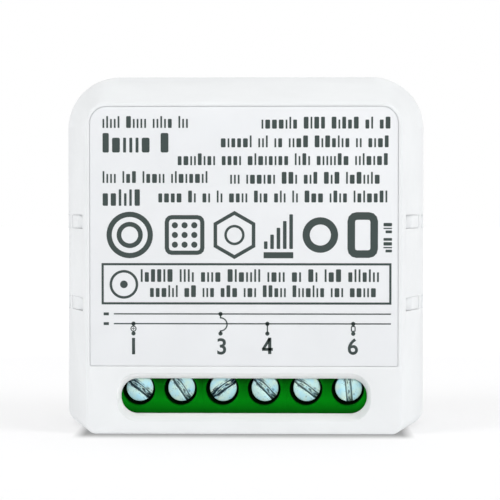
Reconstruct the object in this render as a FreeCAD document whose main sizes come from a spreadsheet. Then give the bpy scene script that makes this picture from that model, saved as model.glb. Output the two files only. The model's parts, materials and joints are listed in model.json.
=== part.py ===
import FreeCAD, Part
import math
import os

import Sketcher
from FreeCAD import Placement, Rotation, Vector

# A smart switch control unit for a wall box: a flared white case that clips together, six screw
# terminals in three green blocks, a relay, a mains supply, a radio board and a pairing button.
# Frame: +Z up, +X right, the labelled face looks along -Y. The origin lies on the ground under
# the middle of the case. All sizes are millimetres.

doc = FreeCAD.newDocument("SwitchControlUnit")
sheet = doc.addObject("Spreadsheet::Sheet", "Sizes")

# Each driving dimension: alias, value and what it measures.
SIZES = [
    ("case_width", 44.0, "widest outline, side to side"),
    ("case_height", 43.0, "from the ground to the top"),
    ("case_depth", 21.0, "from the labelled face to the back"),
    ("flare_depth", 10.0, "depth of the flared front cover"),
    ("face_width", 37.4, "width of the flat labelled face"),
    ("face_top", 39.3, "top edge of the flat labelled face"),
    ("face_top_round", 2.6, "upper corners of the labelled face"),
    ("face_foot_round", 1.3, "lower corners of the labelled face"),
    ("case_top_round", 6.4, "upper corners of the widest outline"),
    ("case_foot_round", 2.0, "lower corners of the widest outline"),
    ("side_wall", 1.6, "thickness of the side walls"),
    ("face_wall", 1.6, "thickness of the labelled wall"),
    ("back_wall", 1.5, "thickness of the back wall"),
    ("back_draft", 0.4, "how far the base narrows towards the back"),
    ("back_edge_round", 1.2, "rounded edge round the back"),
    ("face_edge_round", 0.35, "rounded edge round the labelled face"),
    ("tongue_wall", 0.6, "thickness of the locating tongue of the base"),
    ("tongue_height", 0.8, "how far the tongue enters the cover"),
    ("case_gap", 0.1, "clearance between cover and base"),
    ("inner_round_share", 0.5, "share of a wall by which its inner corners are tighter"),
    ("cut_round", 0.05, "corners of moulded cut-outs"),
    ("label_width", 36.4, "printed label, side to side"),
    ("label_foot", 8.15, "lower edge of the label"),
    ("label_top_gap", 0.5, "label's upper edge below the edge of the face"),
    ("label_round", 2.0, "upper corners of the label"),
    ("label_foot_round", 0.25, "lower corners of the label"),
    ("label_thickness", 0.12, "thickness of the label"),
    ("label_recess", 0.16, "depth of the recess that the label lies in"),
    ("label_gap", 0.08, "gap round the label"),
    ("window_width", 29.3, "inner mouth of the screw window"),
    ("window_height", 4.16, "inner mouth of the screw window"),
    ("window_round", 2.0, "ends of the inner mouth"),
    ("window_side_draft", 0.42, "how far the window opens to each side"),
    ("window_top_draft", 0.75, "how far the window opens upwards and downwards"),
    ("window_lift", -0.88, "middle of the window above the screw axis"),
    ("clip_low", 15.3, "height of the lower clips"),
    ("clip_high", 25.2, "height of the upper clips"),
    ("clip_slot", 1.65, "height of a clip window"),
    ("clip_width", 1.35, "height of a clip arm"),
    ("clip_window_start", 1.8, "clip window's start behind the labelled face"),
    ("clip_bridge", 1.9, "bridge behind the clip window"),
    ("clip_recess", 0.4, "how far the bridge lies inside the widest outline"),
    ("clip_nose_inset", 0.1, "how far the nose lies under the outer wall"),
    ("clip_catch_gap", 0.1, "gap between nose and bridge"),
    ("clip_arm", 1.1, "thickness of a clip arm"),
    ("clip_arm_gap", 0.15, "gap between clip arm and cover wall"),
    ("clip_tip_gap", 1.5, "gap in front of the clip's nose"),
    ("clip_ramp", 1.6, "length of the nose's ramp"),
    ("clip_root", 1.6, "how far the arm's root reaches down the base wall"),
    ("pitch", 5.0, "distance between terminals"),
    ("block_side_gap", 0.05, "half the gap between two terminal blocks"),
    ("block_gap", 0.1, "gap between blocks and the labelled wall"),
    ("block_foot", 0.4, "how far the wire side lies above the ground"),
    ("block_top", 8.9, "height of the blocks' upper face"),
    ("block_round", 0.3, "edges of a block"),
    ("screw_height", 5.3, "height of the screw axes"),
    ("driver_hole_radius", 1.9, "hole that the screwdriver enters"),
    ("head_radius", 1.65, "screw head"),
    ("head_depth", 0.8, "head's face below the block's face"),
    ("head_thickness", 1.1, "screw head"),
    ("head_edge", 0.15, "chamfer round the head"),
    ("driver_slot_width", 0.72, "slot in the head"),
    ("driver_slot_depth", 0.6, "slot in the head"),
    ("shank_radius", 1.25, "threaded shank"),
    ("shank_hole_radius", 1.45, "hole for the shank in the block"),
    ("cage_bore_radius", 1.32, "threaded bore of the clamp cage"),
    ("chamber_roof", 0.6, "block between driver hole and cage chamber"),
    ("screw_seat_gap", 0.05, "gap between screw head and block"),
    ("screw_tip", 0.2, "screw tip past the cage's threaded wall at rest"),
    ("chamber_width", 4.1, "chamber that holds the cage"),
    ("chamber_foot", 2.0, "chamber's lower end above the ground"),
    ("chamber_top", 8.1, "chamber's upper end above the ground"),
    ("cage_width", 3.9, "clamp cage, side to side"),
    ("cage_foot", 2.4, "cage's lower end above the ground"),
    ("cage_top", 6.9, "cage's upper end above the ground"),
    ("cage_front_wall", 1.2, "threaded wall of the cage"),
    ("cage_back_wall", 0.6, "clamping wall of the cage"),
    ("cage_side_wall", 0.45, "side walls of the cage"),
    ("clamp_opening", 2.4, "room for the wire with the cage open"),
    ("clamp_travel", 1.5, "how far a cage rises"),
    ("cage_end_gap", 0.15, "cage's clearance at each end of its travel"),
    ("bar_width", 2.7, "contact bar inside the cage"),
    ("bar_thickness", 0.6, "contact bar and its leg"),
    ("bar_gap", 0.1, "gap between screw tip and contact bar"),
    ("leg_width", 1.0, "solder leg of the contact bar"),
    ("leg_tail", 1.2, "solder leg behind the board"),
    ("leg_gap", 0.05, "clearance of legs in their holes"),
    ("wire_hole_radius", 1.5, "wire entry"),
    ("wire_hole_mouth", 0.3, "chamfer of the wire entry"),
    ("mouth_gap", 0.15, "gap between blocks and the opening under the case"),
    ("board_depth", 12.2, "circuit board behind the labelled face"),
    ("board_thickness", 1.2, "circuit board"),
    ("board_side_gap", 0.55, "gap between board and base wall"),
    ("board_round", 1.5, "board corners"),
    ("post_radius", 1.7, "posts that carry the board"),
    ("post_inset", 4.65, "posts from the board's side edges"),
    ("post_low", 4.4, "height of the lower posts"),
    ("post_drop", 3.65, "upper posts below the board's upper edge"),
    ("post_root", 0.2, "how far the posts run into the back wall"),
    ("post_pin_radius", 0.8, "pins on the posts"),
    ("post_pin_gap", 0.08, "clearance of the pins in the board"),
    ("button_across", 0.0, "pairing button, sideways"),
    ("button_height", 31.0, "pairing button, above the ground"),
    ("button_radius", 3.0, "pairing button"),
    ("button_hole_gap", 0.15, "clearance round the button"),
    ("button_flange_radius", 3.9, "collar that keeps the button in"),
    ("button_flange", 0.6, "thickness of the collar"),
    ("button_seat_gap", 0.1, "gap between collar and back wall"),
    ("button_travel", 0.4, "how far the button goes in"),
    ("button_dish", 0.25, "hollow in the button's face"),
    ("dish_floor_share", 0.6, "hollow's floor as a share of the button's radius"),
    ("dish_rim_share", 0.85, "hollow's rim as a share of the button's radius"),
    ("switch_width", 6.0, "tact switch"),
    ("switch_gap", 1.9, "gap between tact switch and the button's collar"),
    ("plunger_radius", 1.7, "plunger of the tact switch"),
    ("plunger_gap", 0.1, "clearance round the plunger"),
    ("plunger_touch", 0.06, "gap between plunger and button"),
    ("plunger_root", 0.4, "plunger left in the switch when it is pressed"),
    ("light_across", 8.0, "light pipe beside the middle"),
    ("light_radius", 1.0, "light pipe"),
    ("light_gap", 0.03, "clearance round the light pipe"),
    ("light_collar", 1.5, "collar of the light pipe"),
    ("relay_left", -16.2, "relay case, left side"),
    ("relay_foot", 10.4, "relay case above the ground"),
    ("relay_width", 18.4, "relay case"),
    ("relay_height", 15.3, "relay case"),
    ("relay_depth", 10.0, "relay case in front of the board"),
    ("relay_wall", 0.8, "relay case"),
    ("relay_round", 0.6, "relay case edges"),
    ("relay_base", 1.0, "relay base plate"),
    ("relay_fit", 0.05, "gap between relay base and case"),
    ("coil_axis_rise", 4.9, "coil axis above the relay's foot"),
    ("coil_axis_depth", 4.9, "coil axis in front of the board"),
    ("coil_start", 2.4, "coil's left end from the relay's left side"),
    ("coil_length", 9.6, "bobbin between its outer flange faces"),
    ("coil_radius", 3.0, "winding"),
    ("flange_radius", 3.4, "bobbin flanges"),
    ("flange_wall", 0.6, "bobbin flanges and tube"),
    ("core_radius", 1.3, "iron core"),
    ("core_proud", 0.3, "core past the bobbin's flange"),
    ("yoke_width", 5.0, "yoke, armature and blade from front to back"),
    ("yoke_thickness", 1.2, "yoke"),
    ("yoke_gap", 0.1, "gap between yoke and bobbin flanges"),
    ("armature_thickness", 1.1, "armature"),
    ("armature_gap", 0.35, "gap between core and armature at rest"),
    ("pivot_gap", 0.05, "gap between yoke edge and armature"),
    ("blade_thickness", 0.25, "contact blade"),
    ("blade_rise", 3.6, "contact blade above the pivot"),
    ("blade_root", 3.4, "contact blade on the armature"),
    ("contact_radius", 0.9, "contact rivets"),
    ("contact_height", 0.4, "contact rivets"),
    ("contact_rise", 2.6, "contact rivets above the pivot"),
    ("contact_gap", 0.25, "gap between the contacts at rest"),
    ("mains_capacitor_across", 8.7, "mains capacitor"),
    ("mains_capacitor_height", 15.0, "mains capacitor, axis above the ground"),
    ("mains_capacitor_radius", 4.0, "mains capacitor"),
    ("mains_capacitor_depth", 9.4, "mains capacitor in front of the board"),
    ("crimp_rise", 2.0, "capacitors' crimp in front of the board"),
    ("crimp_width", 0.5, "capacitors' crimp"),
    ("crimp_depth", 0.25, "capacitors' crimp"),
    ("output_capacitor_across", 8.2, "output capacitor"),
    ("output_capacitor_height", 23.0, "output capacitor, axis above the ground"),
    ("output_capacitor_radius", 3.15, "output capacitor"),
    ("output_capacitor_depth", 8.2, "output capacitor in front of the board"),
    ("film_capacitor_left", -3.4, "film capacitor"),
    ("film_capacitor_foot", 26.7, "film capacitor"),
    ("film_capacitor_width", 12.5, "film capacitor"),
    ("film_capacitor_height", 4.7, "film capacitor"),
    ("film_capacitor_depth", 9.0, "film capacitor in front of the board"),
    ("varistor_across", 13.9, "varistor"),
    ("varistor_height", 23.4, "varistor, middle above the ground"),
    ("varistor_radius", 3.6, "varistor"),
    ("varistor_thickness", 2.8, "varistor"),
    ("varistor_stand", 0.9, "varistor in front of the board"),
    ("varistor_lead_share", 0.6, "varistor's leads from its middle, as a share of its radius"),
    ("fuse_across", 14.3, "fusible resistor"),
    ("fuse_foot", 11.0, "fusible resistor, lower lead"),
    ("fuse_length", 6.4, "fusible resistor's body"),
    ("fuse_radius", 1.3, "fusible resistor's body"),
    ("fuse_reach", 1.5, "its lead beyond each end"),
    ("fuse_stand", 0.4, "its body in front of the board"),
    ("lead_radius", 0.3, "round leads"),
    ("rectifier_left", 11.6, "bridge rectifier"),
    ("rectifier_foot", 29.4, "bridge rectifier"),
    ("rectifier_width", 4.4, "bridge rectifier"),
    ("rectifier_height", 4.8, "bridge rectifier"),
    ("rectifier_depth", 2.4, "bridge rectifier in front of the board"),
    ("transformer_left", -16.0, "transformer core"),
    ("transformer_foot", 27.4, "transformer core"),
    ("transformer_width", 11.6, "transformer core"),
    ("transformer_height", 9.6, "transformer core"),
    ("transformer_depth", 5.4, "transformer core from front to back"),
    ("transformer_limb", 1.7, "outer limbs and yokes of the core"),
    ("transformer_middle", 3.0, "middle limb of the core"),
    ("transformer_bobbin_wall", 0.5, "bobbin round the middle limb"),
    ("transformer_winding", 1.3, "thickness of the winding"),
    ("winding_gap", 0.1, "gap between windings and cores"),
    ("choke_across", 1.2, "choke"),
    ("choke_height", 34.4, "choke, axis above the ground"),
    ("choke_radius", 2.5, "choke flanges"),
    ("choke_waist", 2.0, "choke between its flanges"),
    ("choke_depth", 7.0, "choke in front of the board"),
    ("choke_flange", 1.0, "choke flanges"),
    ("radio_left", -17.0, "radio board"),
    ("radio_foot", 7.4, "radio board"),
    ("radio_width", 19.0, "radio board"),
    ("radio_height", 16.4, "radio board"),
    ("radio_thickness", 0.8, "radio board"),
    ("header_width", 17.4, "strip between the two boards"),
    ("header_thickness", 2.2, "strip between the two boards"),
    ("header_pitch", 2.2, "solder beads of the strip"),
    ("header_bead", 0.5, "radius of the solder beads"),
    ("header_bead_rise", 0.4, "solder beads behind the radio board"),
    ("shield_left", -15.6, "radio shield"),
    ("shield_foot", 8.4, "radio shield"),
    ("shield_width", 12.0, "radio shield"),
    ("shield_height", 10.6, "radio shield"),
    ("shield_depth", 2.0, "radio shield behind the radio board"),
    ("shield_gap", 0.9, "gap between radio shield and back wall"),
    ("shield_wall", 0.2, "radio shield"),
    ("shield_round", 0.4, "radio shield's edges"),
    ("chip_depth", 1.5, "chips behind the board"),
    ("control_left", 5.0, "control chip"),
    ("control_foot", 14.0, "control chip"),
    ("control_width", 6.4, "control chip"),
    ("control_height", 7.4, "control chip"),
    ("receiver_left", 6.4, "receiver chip"),
    ("receiver_foot", 8.6, "receiver chip"),
    ("receiver_width", 4.9, "receiver chip"),
    ("receiver_height", 3.9, "receiver chip"),
    ("crystal_left", 12.6, "crystal can"),
    ("crystal_foot", 12.0, "crystal can"),
    ("crystal_width", 3.2, "crystal can"),
    ("crystal_height", 5.0, "crystal can"),
    ("crystal_depth", 1.1, "crystal can behind the board"),
    ("aerial_inset", 1.85, "aerial wire from the board's side edge"),
    ("aerial_foot", 10.0, "aerial wire's lower end"),
    ("aerial_length", 22.0, "aerial wire along the board's edge"),
    ("aerial_stand", 2.2, "aerial wire behind the board"),
    ("aerial_radius", 0.4, "aerial wire"),
    ("chip_row_left", -15.0, "row of small chips"),
    ("chip_row_foot", 27.0, "row of small chips"),
    ("chip_row_pitch", 3.4, "row of small chips"),
    ("small_chip_width", 1.6, "small chips"),
    ("small_chip_height", 0.8, "small chips"),
    ("small_chip_depth", 0.5, "small chips"),
    ("lamp_width", 2.0, "status lamp"),
    ("lamp_depth", 0.8, "status lamp behind the board"),
    ("lamp_gap", 0.2, "gap between lamp and light pipe"),
    ("screw_turn_1", 40.0, "slot direction of screw 1, degrees down to the right"),
    ("screw_turn_2", 57.0, "slot direction of screw 2"),
    ("screw_turn_3", -34.0, "slot direction of screw 3"),
    ("screw_turn_4", 47.0, "slot direction of screw 4"),
    ("screw_turn_5", 38.0, "slot direction of screw 5"),
    ("screw_turn_6", 85.0, "slot direction of screw 6"),
]

TERMINALS = 6
POLES_PER_BLOCK = 2
STRIP_BEADS = 7
SMALL_CHIPS = 4

# How far a cutting tool runs past what it cuts.
OVERRUN = 1.0

# Lengths that differ by less than this are the same.
CLOSE = 1e-4


class Size:
    """A length that knows its value and how the sheet's cells make it."""

    def __init__(self, text, number):
        self.text = text
        self.number = number

    def join(self, other, sign, number):
        text = other.text if isinstance(other, Size) else repr(float(other))
        return Size(f"({self.text} {sign} {text})", number)

    def __add__(self, other):
        return self.join(other, "+", self.number + amount(other))

    def __sub__(self, other):
        return self.join(other, "-", self.number - amount(other))

    def __mul__(self, other):
        return self.join(other, "*", self.number * amount(other))

    def __truediv__(self, other):
        return self.join(other, "/", self.number / amount(other))

    def __neg__(self):
        return self * -1


def amount(size):
    return size.number if isinstance(size, Size) else float(size)


def as_size(length):
    return length if isinstance(length, Size) else Size(repr(float(length)), float(length))


class Named:
    """The driving dimensions by name, read back from the sheet."""


size = Named()
for row, (alias, length, meaning) in enumerate(SIZES, start=1):
    sheet.set(f"A{row}", alias)
    sheet.set(f"B{row}", str(length))
    sheet.set(f"C{row}", meaning)
    sheet.setAlias(f"B{row}", alias)
doc.recompute()
for alias, length, meaning in SIZES:
    setattr(size, alias, Size(f"Sizes.{alias}", float(sheet.get(alias))))


def bind(target, name, length):
    """Ties one property of an object to the sheet."""
    target.setExpression(name, as_size(length).text)


def place(target, x, y, z):
    """Ties an object's position to the sheet."""
    for axis, length in zip("xyz", (x, y, z)):
        bind(target, f"Placement.Base.{axis}", length)


def box(name, low, span):
    """A block from its lowest corner and its three side lengths."""
    solid = doc.addObject("Part::Box", name)
    for side, length in zip(("Length", "Width", "Height"), span):
        bind(solid, side, length)
    place(solid, *low)
    return solid


TURNS = {
    "x": Rotation(Vector(0, 1, 0), 90),
    "y": Rotation(Vector(1, 0, 0), -90),
    "z": Rotation(),
}


def rod(name, start, radius, length, axis):
    """A cylinder that starts at a point and runs along +X, +Y or +Z."""
    solid = doc.addObject("Part::Cylinder", name)
    bind(solid, "Radius", radius)
    bind(solid, "Height", length)
    solid.Placement = Placement(Vector(), TURNS[axis])
    place(solid, *start)
    return solid


def cone(name, start, first, last, length, axis):
    """A truncated cone that starts at a point and runs along +X, +Y or +Z."""
    solid = doc.addObject("Part::Cone", name)
    bind(solid, "Radius1", first)
    bind(solid, "Radius2", last)
    bind(solid, "Height", length)
    solid.Placement = Placement(Vector(), TURNS[axis])
    place(solid, *start)
    return solid


def fuse(name, pieces):
    joined = doc.addObject("Part::MultiFuse", name)
    joined.Shapes = pieces
    return joined


def cut(name, base, tools):
    result = doc.addObject("Part::Cut", name)
    result.Base = base
    result.Tool = tools[0] if len(tools) == 1 else fuse(f"{name}_tools", tools)
    return result


def eased(name, base, radius, wanted, kind="Part::Fillet"):
    """Rounds or chamfers the edges of base that wanted() picks."""
    doc.recompute()
    result = doc.addObject(kind, name)
    result.Base = base
    edges = enumerate(base.Shape.Edges, start=1)
    result.Edges = [(number, radius.number, radius.number) for number, edge in edges if wanted(edge)]
    return result


def upright(direction):
    """Picks the straight edges that run along one direction."""
    def wanted(edge):
        if edge.Curve.TypeId != "Part::GeomLine":
            return False
        return abs(abs(edge.Curve.Direction.dot(direction)) - 1) < CLOSE
    return wanted


def plane_of(body, role):
    return next(plane for plane in body.Origin.OriginFeatures if plane.Role == role)


def attached(body, name, role, offset):
    """An empty sketch on one of the body's own planes, moved along its normal."""
    sketch = body.newObject("Sketcher::SketchObject", name)
    sketch.AttachmentSupport = (plane_of(body, role), "")
    sketch.MapMode = "FlatFace"
    bind(sketch, "AttachmentOffset.Base.z", offset)
    return sketch


def drive(sketch, name, constraint, length):
    """Adds one dimension to a sketch and ties it to the sheet."""
    index = sketch.addConstraint(constraint)
    sketch.renameConstraint(index, name)
    bind(sketch, f"Constraints.{name}", length)


# The order in which an outline's lines and arcs are drawn.
FOOT, RIGHT_FOOT, RIGHT, RIGHT_TOP, TOP, LEFT_TOP, LEFT, LEFT_FOOT = range(8)

# The numbers that a sketch gives to the ends of a line and to its origin.
ORIGIN, _, START, END, CENTRE = range(-1, 4)


def rounded_outline(sketch, left, right, foot, top, foot_round, top_round):
    """A rectangle whose two lower and two upper corners are rounded."""
    low, high = foot_round.number, top_round.number
    west, east, south, north = left.number, right.number, foot.number, top.number
    up = Vector(0, 0, 1)

    def line(x0, y0, x1, y1):
        return Part.LineSegment(Vector(x0, y0, 0), Vector(x1, y1, 0))

    def corner(x, y, radius, start):
        circle = Part.Circle(Vector(x, y, 0), up, radius)
        return Part.ArcOfCircle(circle, start, start + math.pi / 2)

    sketch.addGeometry([
        line(west + low, south, east - low, south),
        corner(east - low, south + low, low, -math.pi / 2),
        line(east, south + low, east, north - high),
        corner(east - high, north - high, high, 0),
        line(east - high, north, west + high, north),
        corner(west + high, north - high, high, math.pi / 2),
        line(west, north - high, west, south + low),
        corner(west + low, south + low, low, math.pi),
    ])
    for edge in range(FOOT, LEFT_FOOT):
        sketch.addConstraint(Sketcher.Constraint("Tangent", edge, END, edge + 1, START))
    sketch.addConstraint(Sketcher.Constraint("Tangent", LEFT_FOOT, END, FOOT, START))
    for flat in (FOOT, TOP):
        sketch.addConstraint(Sketcher.Constraint("Horizontal", flat))
    for wall in (RIGHT, LEFT):
        sketch.addConstraint(Sketcher.Constraint("Vertical", wall))
    sketch.addConstraint(Sketcher.Constraint("Equal", RIGHT_FOOT, LEFT_FOOT))
    sketch.addConstraint(Sketcher.Constraint("Equal", RIGHT_TOP, LEFT_TOP))
    drive(sketch, "foot_round", Sketcher.Constraint("Radius", RIGHT_FOOT, low), foot_round)
    drive(sketch, "top_round", Sketcher.Constraint("Radius", RIGHT_TOP, high), top_round)
    for name, kind, edge, length in (
        ("left", "DistanceX", LEFT, left), ("right", "DistanceX", RIGHT, right),
        ("foot", "DistanceY", FOOT, foot), ("top", "DistanceY", TOP, top),
    ):
        constraint = Sketcher.Constraint(kind, ORIGIN, START, edge, START, length.number)
        drive(sketch, name, constraint, length)


def outline_sketch(body, name, role, offset, left, right, foot, top, foot_round, top_round):
    sketch = attached(body, name, role, offset)
    rounded_outline(sketch, *map(as_size, (left, right, foot, top, foot_round, top_round)))
    return sketch


def round_sketch(body, name, role, offset, x, y, radius):
    """A circle on one of the body's own planes."""
    sketch = attached(body, name, role, offset)
    x, y, radius = as_size(x), as_size(y), as_size(radius)
    sketch.addGeometry(Part.Circle(Vector(x.number, y.number, 0), Vector(0, 0, 1), radius.number))
    drive(sketch, "radius", Sketcher.Constraint("Radius", 0, radius.number), radius)
    for direction, length in (("DistanceX", x), ("DistanceY", y)):
        constraint = Sketcher.Constraint(direction, ORIGIN, START, 0, CENTRE, length.number)
        drive(sketch, direction, constraint, length)
    return sketch


def sweep_on(body, kind, name, sketch, length, reverse=False):
    """A pad or pocket of a sketch, whose effect on the volume is checked."""
    doc.recompute()
    before = body.Shape.Volume if body.Tip and body.Shape and not body.Shape.isNull() else 0.0
    feature = body.newObject(kind, name)
    feature.Profile = sketch
    feature.Reversed = reverse
    bind(feature, "Length", length)
    doc.recompute()
    grew = feature.Shape.Volume - before
    if (kind == "PartDesign::Pad") != (grew > 0):
        raise ValueError(f"{body.Label}: {name} points the wrong way")
    return feature


def pad(body, name, sketch, length, reverse=False):
    return sweep_on(body, "PartDesign::Pad", name, sketch, length, reverse)


def pocket(body, name, sketch, length, reverse=False):
    return sweep_on(body, "PartDesign::Pocket", name, sketch, length, reverse)


def loft(body, kind, name, first, last):
    """Joins two outlines by straight walls, adding or removing material."""
    feature = body.newObject(kind, name)
    feature.Profile = first
    feature.Sections = [last]
    feature.Ruled = True
    return feature


def ease_body(body, kind, name, measure, length, wanted):
    """Rounds or chamfers the edges of the body's last feature that wanted() picks."""
    doc.recompute()
    base = body.Tip
    edges = [f"Edge{n}" for n, edge in enumerate(base.Shape.Edges, start=1) if wanted(edge)]
    feature = body.newObject(kind, name)
    feature.Base = (base, edges)
    bind(feature, measure, length)
    return feature


def soften(body, name, radius, wanted):
    return ease_body(body, "PartDesign::Fillet", name, "Radius", radius, wanted)


def new_body(label):
    body = doc.addObject("PartDesign::Body", label)
    body.Label = label
    return body


# Planes that several pieces share, measured along Y from the middle of the case.
front = -size.case_depth / 2
split = front + size.flare_depth
back = size.case_depth / 2
face_inside = front + size.face_wall
back_inside = back - size.back_wall
block_front = face_inside + size.block_gap
board_front = front + size.board_depth
board_back = board_front + size.board_thickness
collar_back = back_inside - size.button_seat_gap
collar_front = collar_back - size.button_flange
zero = Size("0", 0.0)


def flared(face, rear, depth):
    """A measure of the cover's outline at a depth behind the labelled face."""
    return face + (rear - face) * depth / size.flare_depth


def half_width(depth):
    return flared(size.face_width, size.case_width, depth) / 2


def cover_outline(body, name, depth, wall):
    """The cover's outline at one depth, drawn in by a wall."""
    reach = half_width(depth) - wall
    top = flared(size.face_top, size.case_height, depth) - wall
    tighter = size.inner_round_share * wall
    foot_round = flared(size.face_foot_round, size.case_foot_round, depth) - tighter
    top_round = flared(size.face_top_round, size.case_top_round, depth) - tighter
    return outline_sketch(body, name, "XZ_Plane", -(front + depth), -reach, reach,
                          wall, top, foot_round, top_round)


def at_depth(depth):
    """Picks the edges that lie wholly in the plane at one place along Y."""
    def wanted(edge):
        bounds = edge.BoundBox
        return bounds.YLength < CLOSE and abs(bounds.YMin - depth) < CLOSE
    return wanted


def terminal_across(number):
    """Place of a terminal along X, counted from 0 at the left."""
    return size.pitch * (number - (TERMINALS - 1) / 2)


block_end = size.pitch * (TERMINALS / 2)


def make_front_cover():
    body = new_body("front_cover")
    outer_face = cover_outline(body, "face_outline", zero, zero)
    outer_rear = cover_outline(body, "rear_outline", size.flare_depth, zero)
    loft(body, "PartDesign::AdditiveLoft", "flared_shell", outer_face, outer_rear)
    inner_face = cover_outline(body, "inner_face_outline", size.face_wall, size.side_wall)
    inner_rear = cover_outline(body, "inner_rear_outline", size.flare_depth, size.side_wall)
    loft(body, "PartDesign::SubtractiveLoft", "hollow", inner_face, inner_rear)
    soften(body, "face_edge", size.face_edge_round, at_depth(front.number))

    rebate = size.tongue_wall + size.case_gap
    reach = size.case_width / 2 - size.side_wall + rebate
    tighter = size.inner_round_share * size.side_wall
    sketch = outline_sketch(
        body, "rebate_outline", "XZ_Plane", -split, -reach, reach, size.side_wall - rebate,
        size.case_height - size.side_wall + rebate,
        size.case_foot_round - tighter, size.case_top_round - tighter)
    pocket(body, "rebate", sketch, size.tongue_height + size.case_gap, True)

    half = size.label_width / 2 + size.label_gap
    sketch = outline_sketch(
        body, "label_outline", "XZ_Plane", -front, -half, half, size.label_foot - size.label_gap,
        size.face_top - size.label_top_gap + size.label_gap,
        size.label_foot_round, size.label_round)
    pocket(body, "label_recess", sketch, size.label_recess)

    middle = size.screw_height + size.window_lift
    for name, depth in (("window_mouth", zero), ("window_throat", size.face_wall)):
        spread = Size("1", 1.0) - depth / size.face_wall
        across = size.window_width / 2 + spread * size.window_side_draft
        rise = size.window_height / 2 + spread * size.window_top_draft
        ends = size.window_round + spread * size.window_side_draft
        sketch = outline_sketch(body, name, "XZ_Plane", -(front + depth), -across, across,
                                middle - rise, middle + rise, ends, ends)
        if depth is zero:
            mouth = sketch
    loft(body, "PartDesign::SubtractiveLoft", "screw_window", mouth, sketch)

    reach = block_end + size.mouth_gap
    sketch = outline_sketch(body, "wire_side_outline", "XY_Plane", zero, -reach, reach,
                            face_inside, split + OVERRUN, size.cut_round, size.cut_round)
    pocket(body, "wire_side", sketch, size.side_wall + OVERRUN, True)

    for row, height in (("low", size.clip_low), ("high", size.clip_high)):
        foot = height - size.clip_slot / 2
        top = height + size.clip_slot / 2
        sketch = outline_sketch(
            body, f"clip_window_{row}", "YZ_Plane", -size.case_width / 2 - OVERRUN,
            front + size.clip_window_start, split - size.clip_bridge, foot, top,
            size.cut_round, size.cut_round)
        pocket(body, f"clip_windows_{row}", sketch, size.case_width + OVERRUN * 2, True)
        for side, way in (("left", -1), ("right", 1)):
            floor = (size.case_width / 2 - size.clip_recess) * way
            sketch = outline_sketch(
                body, f"clip_recess_{row}_{side}", "YZ_Plane", floor,
                split - size.clip_bridge - OVERRUN, split + OVERRUN, foot, top,
                size.cut_round, size.cut_round)
            pocket(body, f"clip_recess_cut_{row}_{side}", sketch, size.clip_recess + OVERRUN,
                   way > 0)
    return body


def polygon_sketch(body, name, role, offset, corners):
    """A closed outline of straight lines whose corners are all tied to the sheet."""
    sketch = attached(body, name, role, offset)
    corners = [(as_size(x), as_size(y)) for x, y in corners]
    points = [Vector(x.number, y.number, 0) for x, y in corners]
    count = len(points)
    sketch.addGeometry([Part.LineSegment(points[n], points[(n + 1) % count]) for n in range(count)])
    for n in range(count):
        sketch.addConstraint(Sketcher.Constraint("Coincident", n, END, (n + 1) % count, START))
    for n, corner in enumerate(corners):
        for direction, length in zip(("DistanceX", "DistanceY"), corner):
            constraint = Sketcher.Constraint(direction, ORIGIN, START, n, START, length.number)
            drive(sketch, f"{direction}{n}", constraint, length)
    return sketch


def cover_inside(y):
    """Inner face of the cover's side wall at a place along Y."""
    return half_width(y - front) - size.side_wall


def add_clip_arm(body, name, height, way):
    """A spring arm that rises from the base wall and ends in a ramped nose."""
    nose_back = split - size.clip_bridge - size.clip_catch_gap
    nose_front = front + size.clip_window_start + size.clip_tip_gap
    ramp_end = nose_front + size.clip_ramp
    wall = size.case_width / 2 - size.side_wall
    foot = split + size.clip_root
    gap, arm = size.clip_arm_gap, size.clip_arm
    corners = [
        (wall + size.tongue_wall, foot),
        (wall + size.tongue_wall, split),
        (cover_inside(split) - gap, split),
        (cover_inside(nose_back) - gap, nose_back),
        (half_width(nose_back - front) - size.clip_nose_inset, nose_back),
        (half_width(ramp_end - front) - size.clip_nose_inset, ramp_end),
        (cover_inside(nose_front) - gap, nose_front),
        (cover_inside(nose_front) - gap - arm, nose_front),
        (cover_inside(split) - gap - arm, foot),
    ]
    sketch = polygon_sketch(body, f"{name}_profile", "XY_Plane", height - size.clip_width / 2,
                            [(x * way, y) for x, y in corners])
    pad(body, name, sketch, size.clip_width)


# The board's outline, and the posts that carry it.
board_end = size.case_width / 2 - size.side_wall - size.board_side_gap
board_foot = size.side_wall + size.board_side_gap
board_top = size.case_height - size.side_wall - size.board_side_gap
post_across = board_end - size.post_inset
POSTS = [
    (-post_across, size.post_low),
    (-post_across, board_top - size.post_drop),
    (post_across, size.post_low),
    (post_across, board_top - size.post_drop),
]


def base_outline(body, name, depth, wall, narrowed):
    """The base's outline at one depth, drawn in by a wall and narrowed towards the back."""
    reach = size.case_width / 2 - wall - narrowed
    tighter = size.inner_round_share * wall
    return outline_sketch(body, name, "XZ_Plane", -depth, -reach, reach, wall,
                          size.case_height - wall - narrowed,
                          size.case_foot_round - tighter, size.case_top_round - tighter)


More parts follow.
